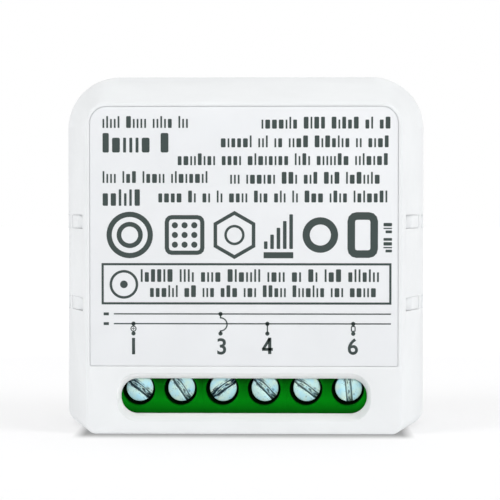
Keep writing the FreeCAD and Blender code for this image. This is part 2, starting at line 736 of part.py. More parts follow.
def make_rear_base():
    body = new_body("rear_base")
    tongue_end = split - size.tongue_height
    outer_front = base_outline(body, "split_outline", split, zero, zero)
    outer_back = base_outline(body, "back_outline", back, zero, size.back_draft)
    loft(body, "PartDesign::AdditiveLoft", "shell", outer_front, outer_back)
    tongue = base_outline(body, "tongue_outline", split, size.side_wall - size.tongue_wall, zero)
    pad(body, "tongue", tongue, size.tongue_height)
    inner_front = base_outline(body, "inner_outline", tongue_end, size.side_wall, zero)
    inner_back = base_outline(body, "floor_outline", back_inside, size.side_wall, size.back_draft)
    loft(body, "PartDesign::SubtractiveLoft", "hollow", inner_front, inner_back)
    soften(body, "back_edge", size.back_edge_round, at_depth(back.number))

    reach = block_end + size.mouth_gap
    sketch = outline_sketch(body, "wire_side_outline", "XY_Plane", zero, -reach, reach,
                            tongue_end - OVERRUN, board_front + size.mouth_gap,
                            size.cut_round, size.cut_round)
    pocket(body, "wire_side", sketch, size.side_wall + OVERRUN, True)

    root = back_inside + size.post_root
    for number, (x, z) in enumerate(POSTS, start=1):
        sketch = round_sketch(body, f"post_{number}_foot", "XZ_Plane", -root, x, z,
                              size.post_radius)
        pad(body, f"post_{number}", sketch, root - board_back)
        sketch = round_sketch(body, f"pin_{number}_foot", "XZ_Plane", -board_back,
                              x, z, size.post_pin_radius)
        pad(body, f"pin_{number}", sketch, size.board_thickness)

    holes = (
        ("button_hole", size.button_across, size.button_radius + size.button_hole_gap),
        ("light_hole", size.light_across, size.light_radius + size.light_gap),
    )
    for name, across, radius in holes:
        sketch = round_sketch(body, f"{name}_outline", "XZ_Plane", -(back_inside - OVERRUN),
                              across, size.button_height, radius)
        pocket(body, name, sketch, size.back_wall + OVERRUN * 2)

    for row, height in (("low", size.clip_low), ("high", size.clip_high)):
        for side, way in (("left", -1), ("right", 1)):
            add_clip_arm(body, f"clip_{row}_{side}", height, way)
    return body


def make_label():
    body = new_body("label")
    half = size.label_width / 2
    sketch = outline_sketch(body, "label_outline", "XZ_Plane", -(front + size.label_recess),
                            -half, half, size.label_foot, size.face_top - size.label_top_gap,
                            size.label_foot_round, size.label_round)
    pad(body, "label_film", sketch, size.label_thickness)
    return body


# Planes of the terminals, from the block's face towards the board.
head_face = block_front + size.head_depth
under_head = head_face + size.head_thickness
shoulder = under_head + size.screw_seat_gap
chamber_front = shoulder + size.chamber_roof
cage_front = chamber_front + size.cage_end_gap + size.clamp_travel
tip = cage_front + size.cage_front_wall + size.screw_tip
bar_front = tip + size.bar_gap
bar_back = bar_front + size.bar_thickness
cage_back = bar_back + size.clamp_opening + size.cage_back_wall
wire_middle = bar_back + size.clamp_opening / 2


def wire_mouth(edge):
    """Picks the circles on the wire side of a terminal block."""
    bounds = edge.BoundBox
    flat = bounds.ZLength < CLOSE and abs(bounds.ZMin - size.block_foot.number) < CLOSE
    return flat and edge.Curve.TypeId == "Part::GeomCircle"


def make_terminal_block(pair):
    """A green moulding for two terminals: screw side in front, wire side underneath."""
    body = new_body(f"terminal_block_{pair + 1}")
    start = -block_end + size.pitch * POLES_PER_BLOCK * pair
    left = start + size.block_side_gap
    right = start + size.pitch * POLES_PER_BLOCK - size.block_side_gap
    sketch = outline_sketch(body, f"block_outline_{pair}", "XZ_Plane", -board_front, left, right,
                            size.block_foot, size.block_top, size.block_round, size.block_round)
    pad(body, f"block_{pair}", sketch, board_front - block_front)
    for pole in range(POLES_PER_BLOCK * pair, POLES_PER_BLOCK * (pair + 1)):
        x = terminal_across(pole)
        sketch = round_sketch(body, f"driver_outline_{pole}", "XZ_Plane", -block_front,
                              x, size.screw_height, size.driver_hole_radius)
        pocket(body, f"driver_hole_{pole}", sketch, shoulder - block_front)
        sketch = round_sketch(body, f"shank_outline_{pole}", "XZ_Plane", -shoulder,
                              x, size.screw_height, size.shank_hole_radius)
        pocket(body, f"shank_hole_{pole}", sketch, size.chamber_roof)
        half = size.chamber_width / 2
        sketch = outline_sketch(body, f"chamber_outline_{pole}", "XZ_Plane", -chamber_front,
                                x - half, x + half, size.chamber_foot, size.chamber_top,
                                size.cut_round, size.cut_round)
        pocket(body, f"chamber_{pole}", sketch, board_front - chamber_front)
        sketch = round_sketch(body, f"wire_outline_{pole}", "XY_Plane", size.block_foot,
                              x, wire_middle, size.wire_hole_radius)
        pocket(body, f"wire_hole_{pole}", sketch, size.chamber_foot - size.block_foot, True)
    ease_body(body, "PartDesign::Chamfer", f"wire_mouths_{pair}", "Size", size.wire_hole_mouth,
              wire_mouth)
    return body


def make_screw(pole):
    """A captive slotted screw; its thread is left plain."""
    label = f"terminal_screw_{pole + 1}"
    body = new_body(label)
    profile = polygon_sketch(body, f"{label}_profile", "XY_Plane", zero, [
        (0, head_face),
        (size.head_radius - size.head_edge, head_face),
        (size.head_radius, head_face + size.head_edge),
        (size.head_radius, under_head),
        (size.shank_radius, under_head),
        (size.shank_radius, tip - size.head_edge),
        (size.shank_radius - size.head_edge, tip),
        (0, tip),
    ])
    turned = body.newObject("PartDesign::Revolution", f"{label}_turned")
    turned.Profile = profile
    turned.ReferenceAxis = (profile, ["V_Axis"])
    turned.Angle = 360
    doc.recompute()
    reach = size.head_radius + OVERRUN
    half = size.driver_slot_width / 2
    sketch = outline_sketch(body, f"{label}_slot", "XZ_Plane", -head_face, -reach, reach,
                            -half, half, size.cut_round, size.cut_round)
    pocket(body, f"{label}_driver_slot", sketch, size.driver_slot_depth)
    turn = getattr(size, f"screw_turn_{pole + 1}")
    body.Placement = Placement(Vector(), Rotation(Vector(0, 1, 0), turn.number))
    place(body, terminal_across(pole), 0, size.screw_height)
    return body


def make_cage(pole):
    """The clamp that a screw draws up: a threaded wall, two sides and a clamping wall."""
    label = f"clamp_cage_{pole + 1}"
    x = terminal_across(pole)
    half = size.cage_width / 2
    height = size.cage_top - size.cage_foot
    outer = box(f"{label}_outer", (x - half, cage_front, size.cage_foot),
                (size.cage_width, cage_back - cage_front, height))
    outer = eased(f"{label}_rounded", outer, size.block_round, upright(Vector(0, 0, 1)))
    inner_front = cage_front + size.cage_front_wall
    room = box(f"{label}_room",
               (x - half + size.cage_side_wall, inner_front, size.cage_foot - OVERRUN),
               (size.cage_width - size.cage_side_wall * 2,
                cage_back - size.cage_back_wall - inner_front, height + OVERRUN * 2))
    bore = rod(f"{label}_bore", (x, cage_front - OVERRUN, size.screw_height),
               size.cage_bore_radius, size.cage_front_wall + OVERRUN * 2, "y")
    return cut(label, outer, [room, bore])


def make_contact(pole):
    """The fixed contact bar inside the cage, with its solder leg through the board."""
    label = f"contact_bar_{pole + 1}"
    x = terminal_across(pole)
    top, foot = size.chamber_top, size.cage_foot
    bar = box(f"{label}_plate", (x - size.bar_width / 2, bar_front, foot),
              (size.bar_width, size.bar_thickness, top - foot))
    leg = box(f"{label}_leg", (x - size.leg_width / 2, bar_front, top - size.bar_thickness),
              (size.leg_width, board_back + size.leg_tail - bar_front, size.bar_thickness))
    return fuse(label, [bar, leg])


def make_button():
    """The pairing button: a dished cap whose collar lies behind the back wall."""
    x, z = size.button_across, size.button_height
    cap = rod("button_cap", (x, collar_front, z), size.button_radius, back - collar_front, "y")
    collar = rod("button_collar", (x, collar_front, z), size.button_flange_radius,
                 size.button_flange, "y")
    solid = fuse("button_solid", [cap, collar])
    dish = cone("button_dish", (x, back - size.button_dish, z),
                size.button_radius * size.dish_floor_share,
                size.button_radius * size.dish_rim_share, size.button_dish, "y")
    return cut("pairing_button", solid, [dish])


def make_tact_switch():
    x, z = size.button_across, size.button_height
    half = size.switch_width / 2
    top = collar_front - size.switch_gap
    plunger_end = collar_front - size.plunger_touch
    sunk = size.button_travel + size.plunger_root
    housing = box("switch_housing", (x - half, board_back, z - half),
                  (size.switch_width, top - board_back, size.switch_width))
    housing = eased("switch_eased", housing, size.small_chip_depth, upright(Vector(0, 1, 0)))
    well = rod("switch_well", (x, top - sunk - size.button_travel, z),
               size.plunger_radius + size.plunger_gap, sunk + size.button_travel + OVERRUN, "y")
    plunger = rod("switch_plunger", (x, top - sunk, z), size.plunger_radius,
                  plunger_end - top + sunk, "y")
    return [cut("switch_body", housing, [well]), plunger]


def make_light():
    """A lamp on the board and the clear rod that carries its light through the back wall."""
    x, z = size.light_across, size.button_height
    half = size.lamp_width / 2
    lamp = box("status_lamp", (x - half, board_back, z - half),
               (size.lamp_width, size.lamp_depth, size.lamp_width))
    start = board_back + size.lamp_depth + size.lamp_gap
    stem = rod("light_stem", (x, start, z), size.light_radius, back - start, "y")
    collar = rod("light_ring", (x, start, z), size.light_collar, back_inside - start, "y")
    return [lamp, fuse("light_pipe", [stem, collar])]


def make_board():
    """The main circuit board with its holes for legs and locating pins."""
    body = new_body("main_board")
    sketch = outline_sketch(body, "board_outline", "XZ_Plane", -board_back, -board_end, board_end,
                            board_foot, board_top, size.board_round, size.case_top_round)
    pad(body, "board_plate", sketch, size.board_thickness)
    half = size.leg_width / 2 + size.leg_gap
    for pole in range(TERMINALS):
        x = terminal_across(pole)
        sketch = outline_sketch(
            body, f"leg_outline_{pole}", "XZ_Plane", -(board_front - OVERRUN), x - half, x + half,
            size.chamber_top - size.bar_thickness - size.leg_gap, size.chamber_top + size.leg_gap,
            size.cut_round, size.cut_round)
        pocket(body, f"leg_hole_{pole}", sketch, size.board_thickness + OVERRUN * 2)
    for number, (x, z) in enumerate(POSTS, start=1):
        sketch = round_sketch(body, f"pin_outline_{number}", "XZ_Plane",
                              -(board_front - OVERRUN), x, z,
                              size.post_pin_radius + size.post_pin_gap)
        pocket(body, f"pin_hole_{number}", sketch, size.board_thickness + OVERRUN * 2)
    return body


def on_front(name, left, foot, width, height, depth):
    """A block that stands on the board's front face."""
    return box(name, (left, board_front - depth, foot), (width, depth, height))


def on_back(name, left, foot, width, height, depth):
    """A block that stands on the board's back face."""
    return box(name, (left, board_back, foot), (width, depth, height))


def make_relay():
    left, foot = size.relay_left, size.relay_foot
    right, top = left + size.relay_width, foot + size.relay_height
    wall = size.relay_wall
    shell = on_front("relay_shell", left, foot, size.relay_width, size.relay_height,
                     size.relay_depth)
    shell = eased("relay_shell_eased", shell, size.relay_round, upright(Vector(0, 1, 0)))
    room = box("relay_room", (left + wall, board_front - size.relay_depth + wall, foot + wall),
               (size.relay_width - wall * 2, size.relay_depth, size.relay_height - wall * 2))
    case = cut("relay_case", shell, [room])
    inset = wall + size.relay_fit
    base = on_front("relay_base", left + inset, foot + inset, size.relay_width - inset * 2,
                    size.relay_height - inset * 2, size.relay_base)

    y = board_front - size.coil_axis_depth
    z = foot + size.coil_axis_rise
    start = left + size.coil_start
    end = start + size.coil_length
    flange = size.flange_wall
    tube = size.core_radius + flange
    spool = fuse("spool_solid", [
        rod("spool_tube", (start, y, z), tube, size.coil_length, "x"),
        rod("spool_left", (start, y, z), size.flange_radius, flange, "x"),
        rod("spool_right", (end - flange, y, z), size.flange_radius, flange, "x"),
        box("spool_foot", (start, y, z - size.core_radius),
            (flange, board_front - size.relay_base - y, size.core_radius * 2)),
    ])
    spool = cut("relay_bobbin", spool, [
        rod("spool_bore", (start - OVERRUN, y, z), size.core_radius,
            size.coil_length + OVERRUN * 2, "x")])
    winding = cut(
        "relay_winding",
        rod("winding_outside", (start + flange, y, z), size.coil_radius,
            size.coil_length - flange * 2, "x"),
        [rod("winding_inside", (start, y, z), tube, size.coil_length, "x")])
    core = rod("relay_core", (start, y, z), size.core_radius, size.coil_length + size.core_proud,
               "x")

    thick = size.yoke_thickness
    shelf = z + size.flange_radius + size.yoke_gap
    edge = end + size.core_proud + size.armature_gap - size.pivot_gap
    near = y - size.yoke_width / 2
    yoke = fuse("relay_yoke", [
        box("yoke_back", (start - thick, near, z - size.core_radius),
            (thick, size.yoke_width, shelf + thick - z + size.core_radius)),
        box("yoke_shelf", (start - thick, near, shelf),
            (edge - start + thick, size.yoke_width, thick)),
    ])
    pivot = edge + size.pivot_gap
    armature = box("relay_armature", (pivot, near, z - size.core_radius),
                   (size.armature_thickness, size.yoke_width, shelf + thick - z + size.core_radius))
    ridge = shelf + thick
    blade_left = pivot + size.armature_thickness
    contact = ridge + size.contact_rise
    blade = fuse("contact_blade", [
        box("blade_strip", (blade_left, near, ridge - size.blade_root),
            (size.blade_thickness, size.yoke_width, size.blade_root + size.blade_rise)),
        rod("blade_rivet", (blade_left + size.blade_thickness, y, contact), size.contact_radius,
            size.contact_height, "x"),
    ])
    fixed_left = blade_left + size.blade_thickness + size.contact_height + size.contact_gap
    plate_left = fixed_left + size.contact_height
    fixed = fuse("fixed_contact", [
        rod("fixed_rivet", (fixed_left, y, contact), size.contact_radius, size.contact_height,
            "x"),
        box("fixed_plate", (plate_left, near, contact - size.contact_radius),
            (size.bar_thickness, board_front - size.relay_base - near, size.contact_radius * 2)),
    ])
    return [case, base, spool, winding, core, yoke, armature, blade, fixed]


def make_can(name, x, z, radius, depth):
    """An electrolytic capacitor: a crimped can that stands on the board."""
    start = board_front - depth
    can = rod(f"{name}_can", (x, start, z), radius, depth, "y")
    groove = board_front - size.crimp_rise
    crimp = cut(f"{name}_groove",
                rod(f"{name}_groove_outside", (x, groove, z), radius + OVERRUN, size.crimp_width,
                    "y"),
                [rod(f"{name}_groove_inside", (x, groove - OVERRUN, z), radius - size.crimp_depth,
                     size.crimp_width + OVERRUN * 2, "y")])
    can = cut(f"{name}_crimped", can, [crimp])
    return eased(name, can, size.relay_round, at_depth(start.number))


def make_supply():
    """The mains supply in front of the board."""
    mains = make_can("mains_capacitor", size.mains_capacitor_across, size.mains_capacitor_height,
                     size.mains_capacitor_radius, size.mains_capacitor_depth)
    output = make_can("output_capacitor", size.output_capacitor_across,
                      size.output_capacitor_height, size.output_capacitor_radius,
                      size.output_capacitor_depth)
    film = on_front("film_capacitor_block", size.film_capacitor_left, size.film_capacitor_foot,
                    size.film_capacitor_width, size.film_capacitor_height,
                    size.film_capacitor_depth)
    film = eased("film_capacitor", film, size.relay_round, upright(Vector(0, 1, 0)))

    radius = size.varistor_radius
    leads_apart = radius * size.varistor_lead_share
    y = board_front - size.varistor_stand - radius
    start = size.varistor_across - size.varistor_thickness / 2
    disc = rod("varistor_disc", (start, y, size.varistor_height), radius,
               size.varistor_thickness, "x")
    leads = [
        rod(f"varistor_lead_{side}", (size.varistor_across, y, size.varistor_height + rise),
            size.lead_radius, board_front - y, "y")
        for side, rise in (("low", -leads_apart), ("high", leads_apart))
    ]
    varistor = fuse("varistor", [disc, *leads])

    x = size.fuse_across
    y = board_front - size.fuse_stand - size.fuse_radius
    low, high = size.fuse_foot, size.fuse_foot + size.fuse_length + size.fuse_reach * 2
    fuse_parts = [
        rod("fuse_barrel", (x, y, low + size.fuse_reach), size.fuse_radius, size.fuse_length, "z"),
        rod("fuse_wire", (x, y, low), size.lead_radius, high - low, "z"),
        rod("fuse_foot_low", (x, y - size.lead_radius, low), size.lead_radius,
            board_front - y + size.lead_radius, "y"),
        rod("fuse_foot_high", (x, y - size.lead_radius, high), size.lead_radius,
            board_front - y + size.lead_radius, "y"),
    ]
    fusible = fuse("fuse_resistor", fuse_parts)
    rectifier = on_front("bridge_rectifier", size.rectifier_left, size.rectifier_foot,
                         size.rectifier_width, size.rectifier_height, size.rectifier_depth)

    x, z = size.choke_across, size.choke_height
    start = board_front - size.choke_depth
    choke = fuse("filter_choke", [
        rod("choke_front", (x, start, z), size.choke_radius, size.choke_flange, "y"),
        rod("choke_middle", (x, start, z), size.choke_waist, size.choke_depth, "y"),
        rod("choke_back", (x, board_front - size.choke_flange, z), size.choke_radius,
            size.choke_flange, "y"),
    ])
    return [mains, output, film, varistor, fusible, rectifier, choke]


def make_transformer():
    """A ferrite core round a bobbin, with its winding on the middle limb."""
    left, foot = size.transformer_left, size.transformer_foot
    width, height = size.transformer_width, size.transformer_height
    limb = size.transformer_limb
    depth = size.transformer_depth
    stand = size.transformer_bobbin_wall + size.transformer_winding
    y = board_front - stand - depth
    half = size.transformer_middle / 2
    centre = left + width / 2
    frame = box("core_frame", (left, y, foot), (width, depth, height))
    side = (width - limb * 2) / 2 - half
    left_window = box("core_left_window", (left + limb, y - OVERRUN, foot + limb),
                      (side, depth + OVERRUN * 2, height - limb * 2))
    right_window = box("core_right_window", (centre + half, y - OVERRUN, foot + limb),
                       (side, depth + OVERRUN * 2, height - limb * 2))
    core = cut("transformer_core", frame, [left_window, right_window])

    wall = size.transformer_bobbin_wall
    gap = size.winding_gap
    low, tall = foot + limb + gap, height - (limb + gap) * 2

    def tube(name, across, proud, start, length):
        """A block round the middle limb, by its reach to each side and its stand off the core."""
        return box(name, (centre - across, y - proud, start),
                   (across * 2, depth + proud * 2, length))

    flange_reach = half + side - gap
    tube_reach = half + gap + wall
    outer = tube("bobbin_outer", flange_reach, stand, low, tall)
    ring = cut("bobbin_waist",
               tube("waist_outer", flange_reach + OVERRUN, stand + OVERRUN, low + wall,
                    tall - wall * 2),
               [tube("waist_inner", tube_reach, gap + wall, low, tall)])
    hole = tube("bobbin_hole", half + gap, gap, low - OVERRUN, tall + OVERRUN * 2)
    bobbin = cut("transformer_bobbin", outer, [ring, hole])
    turns_reach = tube_reach + size.transformer_winding
    winding = cut("transformer_winding",
                  tube("turns_outer", turns_reach, stand - gap, low + wall, tall - wall * 2),
                  [tube("turns_inner", tube_reach, gap + wall, low, tall)])
    return [core, bobbin, winding]


def make_radio():
    """The radio board on its strip behind the main board, with its metal shield."""
    left, foot = size.radio_left, size.radio_foot
    far = back_inside - size.shield_gap - size.shield_depth
    near = far - size.radio_thickness
    board = box("radio_board", (left, near, foot),
                (size.radio_width, size.radio_thickness, size.radio_height))
    strip_left = left + (size.radio_width - size.header_width) / 2
    strip_foot = foot + size.radio_height - size.header_thickness
    strip = on_back("header_strip", strip_left, strip_foot, size.header_width,
                    size.header_thickness, near - board_back)
    beads = [
        rod(f"header_bead_{n}", (strip_left + size.header_pitch * (n + 0.5), far,
                                 strip_foot + size.header_thickness / 2),
            size.header_bead, size.header_bead_rise, "y")
        for n in range(STRIP_BEADS)
    ]
    wall = size.shield_wall
    shell = box("shield_shell", (size.shield_left, far, size.shield_foot),
                (size.shield_width, size.shield_depth, size.shield_height))
    shell = eased("shield_eased", shell, size.shield_round, upright(Vector(0, 1, 0)))
    room = box("shield_room", (size.shield_left + wall, far - OVERRUN, size.shield_foot + wall),
               (size.shield_width - wall * 2, size.shield_depth + OVERRUN - wall,
                size.shield_height - wall * 2))
    return [board, strip, fuse("header_beads", beads), cut("radio_shield", shell, [room])]


def make_chips():
    """The chips and the receiver's parts behind the main board."""
    chips = [
        on_back(f"{name}_chip", getattr(size, f"{name}_left"), getattr(size, f"{name}_foot"),
                getattr(size, f"{name}_width"), getattr(size, f"{name}_height"), size.chip_depth)
        for name in ("control", "receiver")
    ]
    crystal = on_back("crystal_block", size.crystal_left, size.crystal_foot, size.crystal_width,
                      size.crystal_height, size.crystal_depth)
    crystal = eased("crystal_can", crystal, size.small_chip_depth, upright(Vector(0, 1, 0)))
    small = [
        on_back(f"small_chip_{n}", size.chip_row_left + size.chip_row_pitch * n,
                size.chip_row_foot, size.small_chip_width, size.small_chip_height,
                size.small_chip_depth)
        for n in range(SMALL_CHIPS)
    ]
    x, y, z = board_end - size.aerial_inset, board_back + size.aerial_stand, size.aerial_foot
    radius = size.aerial_radius
    wire = fuse("aerial_wire", [
        rod("aerial_foot_wire", (x, board_back, z), radius, size.aerial_stand + radius, "y"),
        rod("aerial_run", (x, y, z - radius), radius, size.aerial_length, "z"),
    ])
    return [*chips, crystal, fuse("small_chips", small), wire]


subparts = [make_front_cover(), make_rear_base(), make_label(), make_board()]
subparts += [make_terminal_block(pair) for pair in range(TERMINALS // POLES_PER_BLOCK)]
for pole in range(TERMINALS):
    subparts += [make_screw(pole), make_cage(pole), make_contact(pole)]
subparts += [make_button(), *make_tact_switch(), *make_light(), *make_relay()]
subparts += [*make_supply(), *make_transformer(), *make_radio(), *make_chips()]
doc.recompute()

for item in doc.Objects:
    if "Invalid" in item.State or "Error" in item.State:
        raise ValueError(f"{item.Name} did not build: {item.State}")
for subpart in subparts:
    subpart.Label = subpart.Name
    if subpart.Shape.isNull() or not subpart.Shape.isValid():
        raise ValueError(f"{subpart.Label} has no valid shape")

os.makedirs("parts", exist_ok=True)
for subpart in subparts:
    subpart.Shape.exportStep(os.path.join("parts", f"{subpart.Label}.step"))
print(f"{len(subparts)} sub-parts written")
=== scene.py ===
"""A switch control unit: the finish of its case, label, terminals, screws and inner parts."""
import json
import math
import random

import bpy
from bpy.props import FloatProperty, FloatVectorProperty, PointerProperty
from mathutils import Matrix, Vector

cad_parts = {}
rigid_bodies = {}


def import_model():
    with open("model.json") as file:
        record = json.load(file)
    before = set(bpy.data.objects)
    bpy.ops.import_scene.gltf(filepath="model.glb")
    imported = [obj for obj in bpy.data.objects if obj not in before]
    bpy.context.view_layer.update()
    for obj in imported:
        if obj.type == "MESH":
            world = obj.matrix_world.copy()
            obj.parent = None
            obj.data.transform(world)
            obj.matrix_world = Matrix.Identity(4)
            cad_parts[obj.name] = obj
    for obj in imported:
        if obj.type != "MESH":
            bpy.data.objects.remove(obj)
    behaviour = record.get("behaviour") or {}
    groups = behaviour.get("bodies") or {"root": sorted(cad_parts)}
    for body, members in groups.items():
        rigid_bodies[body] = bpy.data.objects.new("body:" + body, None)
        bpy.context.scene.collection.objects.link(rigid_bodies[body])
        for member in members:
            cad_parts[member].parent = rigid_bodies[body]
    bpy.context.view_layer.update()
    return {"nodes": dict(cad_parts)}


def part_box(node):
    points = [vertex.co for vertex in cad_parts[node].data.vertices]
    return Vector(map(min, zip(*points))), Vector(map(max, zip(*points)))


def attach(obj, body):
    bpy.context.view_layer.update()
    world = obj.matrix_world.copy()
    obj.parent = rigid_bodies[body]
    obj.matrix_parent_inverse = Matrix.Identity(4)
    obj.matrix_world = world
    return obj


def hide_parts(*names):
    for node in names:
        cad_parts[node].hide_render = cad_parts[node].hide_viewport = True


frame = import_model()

bl_info = {
    "name": "Switch control unit",
    "version": (1, 0, 0),
    "blender": (4, 5, 0),
    "location": "View3D > Sidebar > Unit",
    "description": "Dresses a packed switch control unit and sets it on a studio floor",
    "category": "Object",
}

MM = 0.001
SCREWS = range(1, 7)
BLACK, WHITE = (0, 0, 0), (1, 1, 1)
# A point this near to a plane lies on it, and this near to a circle on that.
ON_PLANE = 0.01 * MM
ON_CIRCLE = 0.05 * MM
# Angles in degrees up to which faces are shaded as one.
SMOOTH, SMOOTH_ROUND = 35, 50
# Faces in each full turn of a thread or a wire.
TURN_STEPS = 28


def from_screen(red, green, blue):
    """A colour as it looks on a screen, from 0 to 255, turned into the renderer's own scale."""
    def linear(level):
        level /= 255
        return level / 12.92 if level <= 0.04045 else ((level + 0.055) / 1.055) ** 2.4
    return (linear(red), linear(green), linear(blue))


def colour(title, meaning, *screen):
    return FloatVectorProperty(name=title, description=meaning, subtype="COLOR", size=3,
                               min=0, max=1, default=from_screen(*screen))


def length(title, meaning, millimetres):
    return FloatProperty(name=title, description=meaning, unit="LENGTH", precision=5,
                         default=millimetres * MM)


def share(title, meaning, value):
    return FloatProperty(name=title, description=meaning, default=value, min=0, max=1)


class UnitColours(bpy.types.PropertyGroup):
    case: colour("Case", "White moulded case", 231, 233, 234)
    # Painted light: the near white that the slopes round the window are lifted to.
    slope: colour("Slopes", "The case's slopes round its window", 255, 253, 255)
    label: colour("Label", "Printed film", 231, 233, 235)
    ink: colour("Ink", "Print on the label", 62, 73, 71)
    terminal: colour("Terminals", "Green moulding", 0, 133, 15)
    zinc: colour("Zinc", "Plated screws", 174, 222, 236)
    cream: colour("Cream", "Yellowish patches in the plating", 206, 230, 216)
    # Also the painted shade along the sides of the screws' slots.
    scuff: colour("Scuffs", "Where the driver has worn the plating", 24, 44, 58)
    tin: colour("Tin", "Plated cages and shields", 200, 204, 206)
    brass: colour("Brass", "Contact bars and blades", 205, 170, 96)
    copper: colour("Copper", "Enamelled wire", 184, 104, 60)
    board: colour("Board", "Solder resist", 18, 92, 48)
    black: colour("Black plastic", "Chips, relay and bobbins", 30, 30, 32)
    dark_board: colour("Dark board", "Solder resist of the radio board", 16, 34, 74)
    iron: colour("Iron", "Relay's magnetic parts", 168, 168, 170)
    ferrite: colour("Ferrite", "Transformer core and choke", 58, 58, 60)
    tape: colour("Tape", "Tape round the windings", 214, 176, 58)
    sleeve: colour("Sleeve", "Capacitors' shrink sleeves", 28, 40, 70)
    film_box: colour("Film capacitor", "Its moulded box", 206, 186, 66)
    dip: colour("Dipped coating", "Varistor", 44, 92, 168)
    lacquer: colour("Lacquer", "Fusible resistor", 118, 134, 120)
    lamp: colour("Lamp", "The status lamp's lens", 236, 226, 150)


class UnitSizes(bpy.types.PropertyGroup):
    case_edge: length("Case edge", "Rounding along the case's edges", 0.14)
    film_edge: length("Film edge", "Rounding along the label's edges", 0.02)
    block_edge: length("Block edge", "Rounding along the terminals' edges", 0.02)
    rim: length("Rim", "Rounding round the driver holes", 0.12)
    seam: length("Seam", "Half the gap between two terminal blocks", 0.05)
    screw_edge: length("Screw edge", "Rounding along the screws' edges", 0.03)
    sheet_edge: length("Sheet edge", "Rounding along stamped metal", 0.06)
    part_edge: length("Part edge", "Rounding along moulded parts on the boards", 0.12)
    can_edge: length("Can edge", "Rounding along the capacitors' sleeves", 0.05)
    arm_gap: length("Arm gap", "Gap beside a clip arm, which its sides close", 0.11)
    foot_gap: length("Foot gap", "Left under the plunger's foot when it is pressed", 0.03)
    thread_pitch: length("Thread pitch", "Screws", 0.5)
    thread_crest: length("Thread crest", "Screws, radius over the thread", 1.24)
    thread_root: length("Thread root", "Screws, radius under the thread", 1.04)
    slot_width: length("Slot width", "Slot in a screw's head", 0.72)
    head_chamfer: length("Head chamfer", "What is left of the chamfer round a head", 0.05)
    wire_pitch: length("Wire pitch", "Turns of the relay's coil", 0.24)
    choke_wire: length("Choke wire", "Turns of the choke", 0.3)


class StageLook(bpy.types.PropertyGroup):
    camera_distance: length("Distance", "Camera in front of the labelled face", 201.5)
    camera_across: length("Across", "Camera to the right of the middle", 4.7)
    camera_height: length("Height", "Camera above the ground", 26.9)
    lens: FloatProperty(name="Lens", description="Focal length on a 36 mm wide sensor",
                        default=122.8)
    depth_axis_across: share("Depth axis across", "Where the depth axis vanishes, as a share of"
                             " the image's width from its middle", 0.067)
    depth_axis_up: share("Depth axis up", "The same above the image's middle", 0.085)
    ambient: share("Ambient", "Even light from all round", 0.41)
    floor: colour("Floor", "Pale studio floor, as it lights the unit", 240, 240, 241)
    floor_seen: colour("Seen floor", "The floor's own share of its brightness for the camera",
                       164, 164, 165)
    floor_glow: share("Floor glow", "Lifts the floor to white for the camera", 0.57)
    floor_bounce: share("Floor bounce", "Light that the white floor sends up to the unit", 0.15)
    # The near shade and the front shadow are painted shadow in the floor's colour.
    contact: length("Near shadow", "How far the soft shade round the unit reaches", 30)
    near_shade: share("Near shade", "Share of the light that the soft shade takes away at most",
                      0.1)
    contact_depth: length("Front shadow", "How far the dark strip before the unit reaches", 4.5)
    contact_reach: length("Front shadow's end", "From the middle to the strip's end", 20.2)
    contact_fade: length("Front shadow's fade", "How far before its end the strip fades", 1.4)
    contact_strength: share("Front shadow's strength", "Share of the light that the strip loses",
                            0.62)
    shadow_reach: length("Shadow reach", "Floor round the unit that keeps its whole shadow", 100)


def looks():
    return bpy.context.scene.unit_colours


def sizes():
    return bpy.context.scene.unit_sizes


# Places in the CAD model.

def box(node):
    """A node's low and high corner."""
    return tuple(Vector(corner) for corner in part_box(node))


def middle_of(node):
    low, high = box(node)
    return (low + high) / 2


def off_axis(at, middle):
    """How far a point lies from the axis along Y through a middle."""
    return math.hypot(at.x - middle.x, at.z - middle.z)


# Building blocks of the materials.

def node_adder(tree):
    """Two functions: one adds a node to a tree, one sets or links the inputs of a node."""
    def fill(node, values):
        for key, value in values.items():
            if isinstance(value, bpy.types.NodeSocket):
                tree.links.new(value, node.inputs[key])
            else:
                node.inputs[key].default_value = value

    def add(kind, inputs=(), **settings):
        node = tree.nodes.new(kind)
        for key, value in settings.items():
            setattr(node, key, value)
        fill(node, dict(inputs))
        return node

    return add, fill


def new_material(name):
    """A material, the functions that add nodes and set its surface, and the object's places."""
    material = bpy.data.materials.new(name)
    material.use_nodes = True
    add, fill = node_adder(material.node_tree)
    shader = material.node_tree.nodes["Principled BSDF"]

    def surface(values):
        fill(shader, values)

    return material, add, surface, add("ShaderNodeTexCoord").outputs["Object"]


def noise(add, place, scale, detail=3.0, roughness=0.5):
    return add("ShaderNodeTexNoise", {"Vector": place, "Scale": scale, "Detail": detail,
                                      "Roughness": roughness}).outputs["Fac"]


def ramp(add, value, first, last, low=0.0, top=1.0, kind="LINEAR"):
    """Takes the range first to last to the range low to top, and stops there."""
    return add("ShaderNodeMapRange", {"Value": value, "From Min": first, "From Max": last,
                                      "To Min": low, "To Max": top},
               interpolation_type=kind).outputs["Result"]


def spread(add, value, low=0.0, high=1.0):
    """Takes a texture's middle range to the range low to high."""
    return ramp(add, value, 0.3, 0.7, low, high)


def maths(add, kind, *values):
    return add("ShaderNodeMath", dict(enumerate(values)), operation=kind).outputs[0]


def times(add, product, *others):
    for other in others:
        product = maths(add, "MULTIPLY", product, other)
    return product


def axes(add, place):
    """A place's X, Y and Z."""
    return tuple(add("ShaderNodeSeparateXYZ", {0: place}).outputs)


def remapped(add, place, **values):
    """The place as a texture sees it that has been moved, turned and stretched."""
    return add("ShaderNodeMapping", {"Vector": place, **values},
               vector_type="TEXTURE").outputs["Vector"]


def blend(add, factor, first, second, kind="FLOAT"):
    return add("ShaderNodeMix", {"Factor": factor, "A": first, "B": second},
               data_type=kind).outputs["Result"]


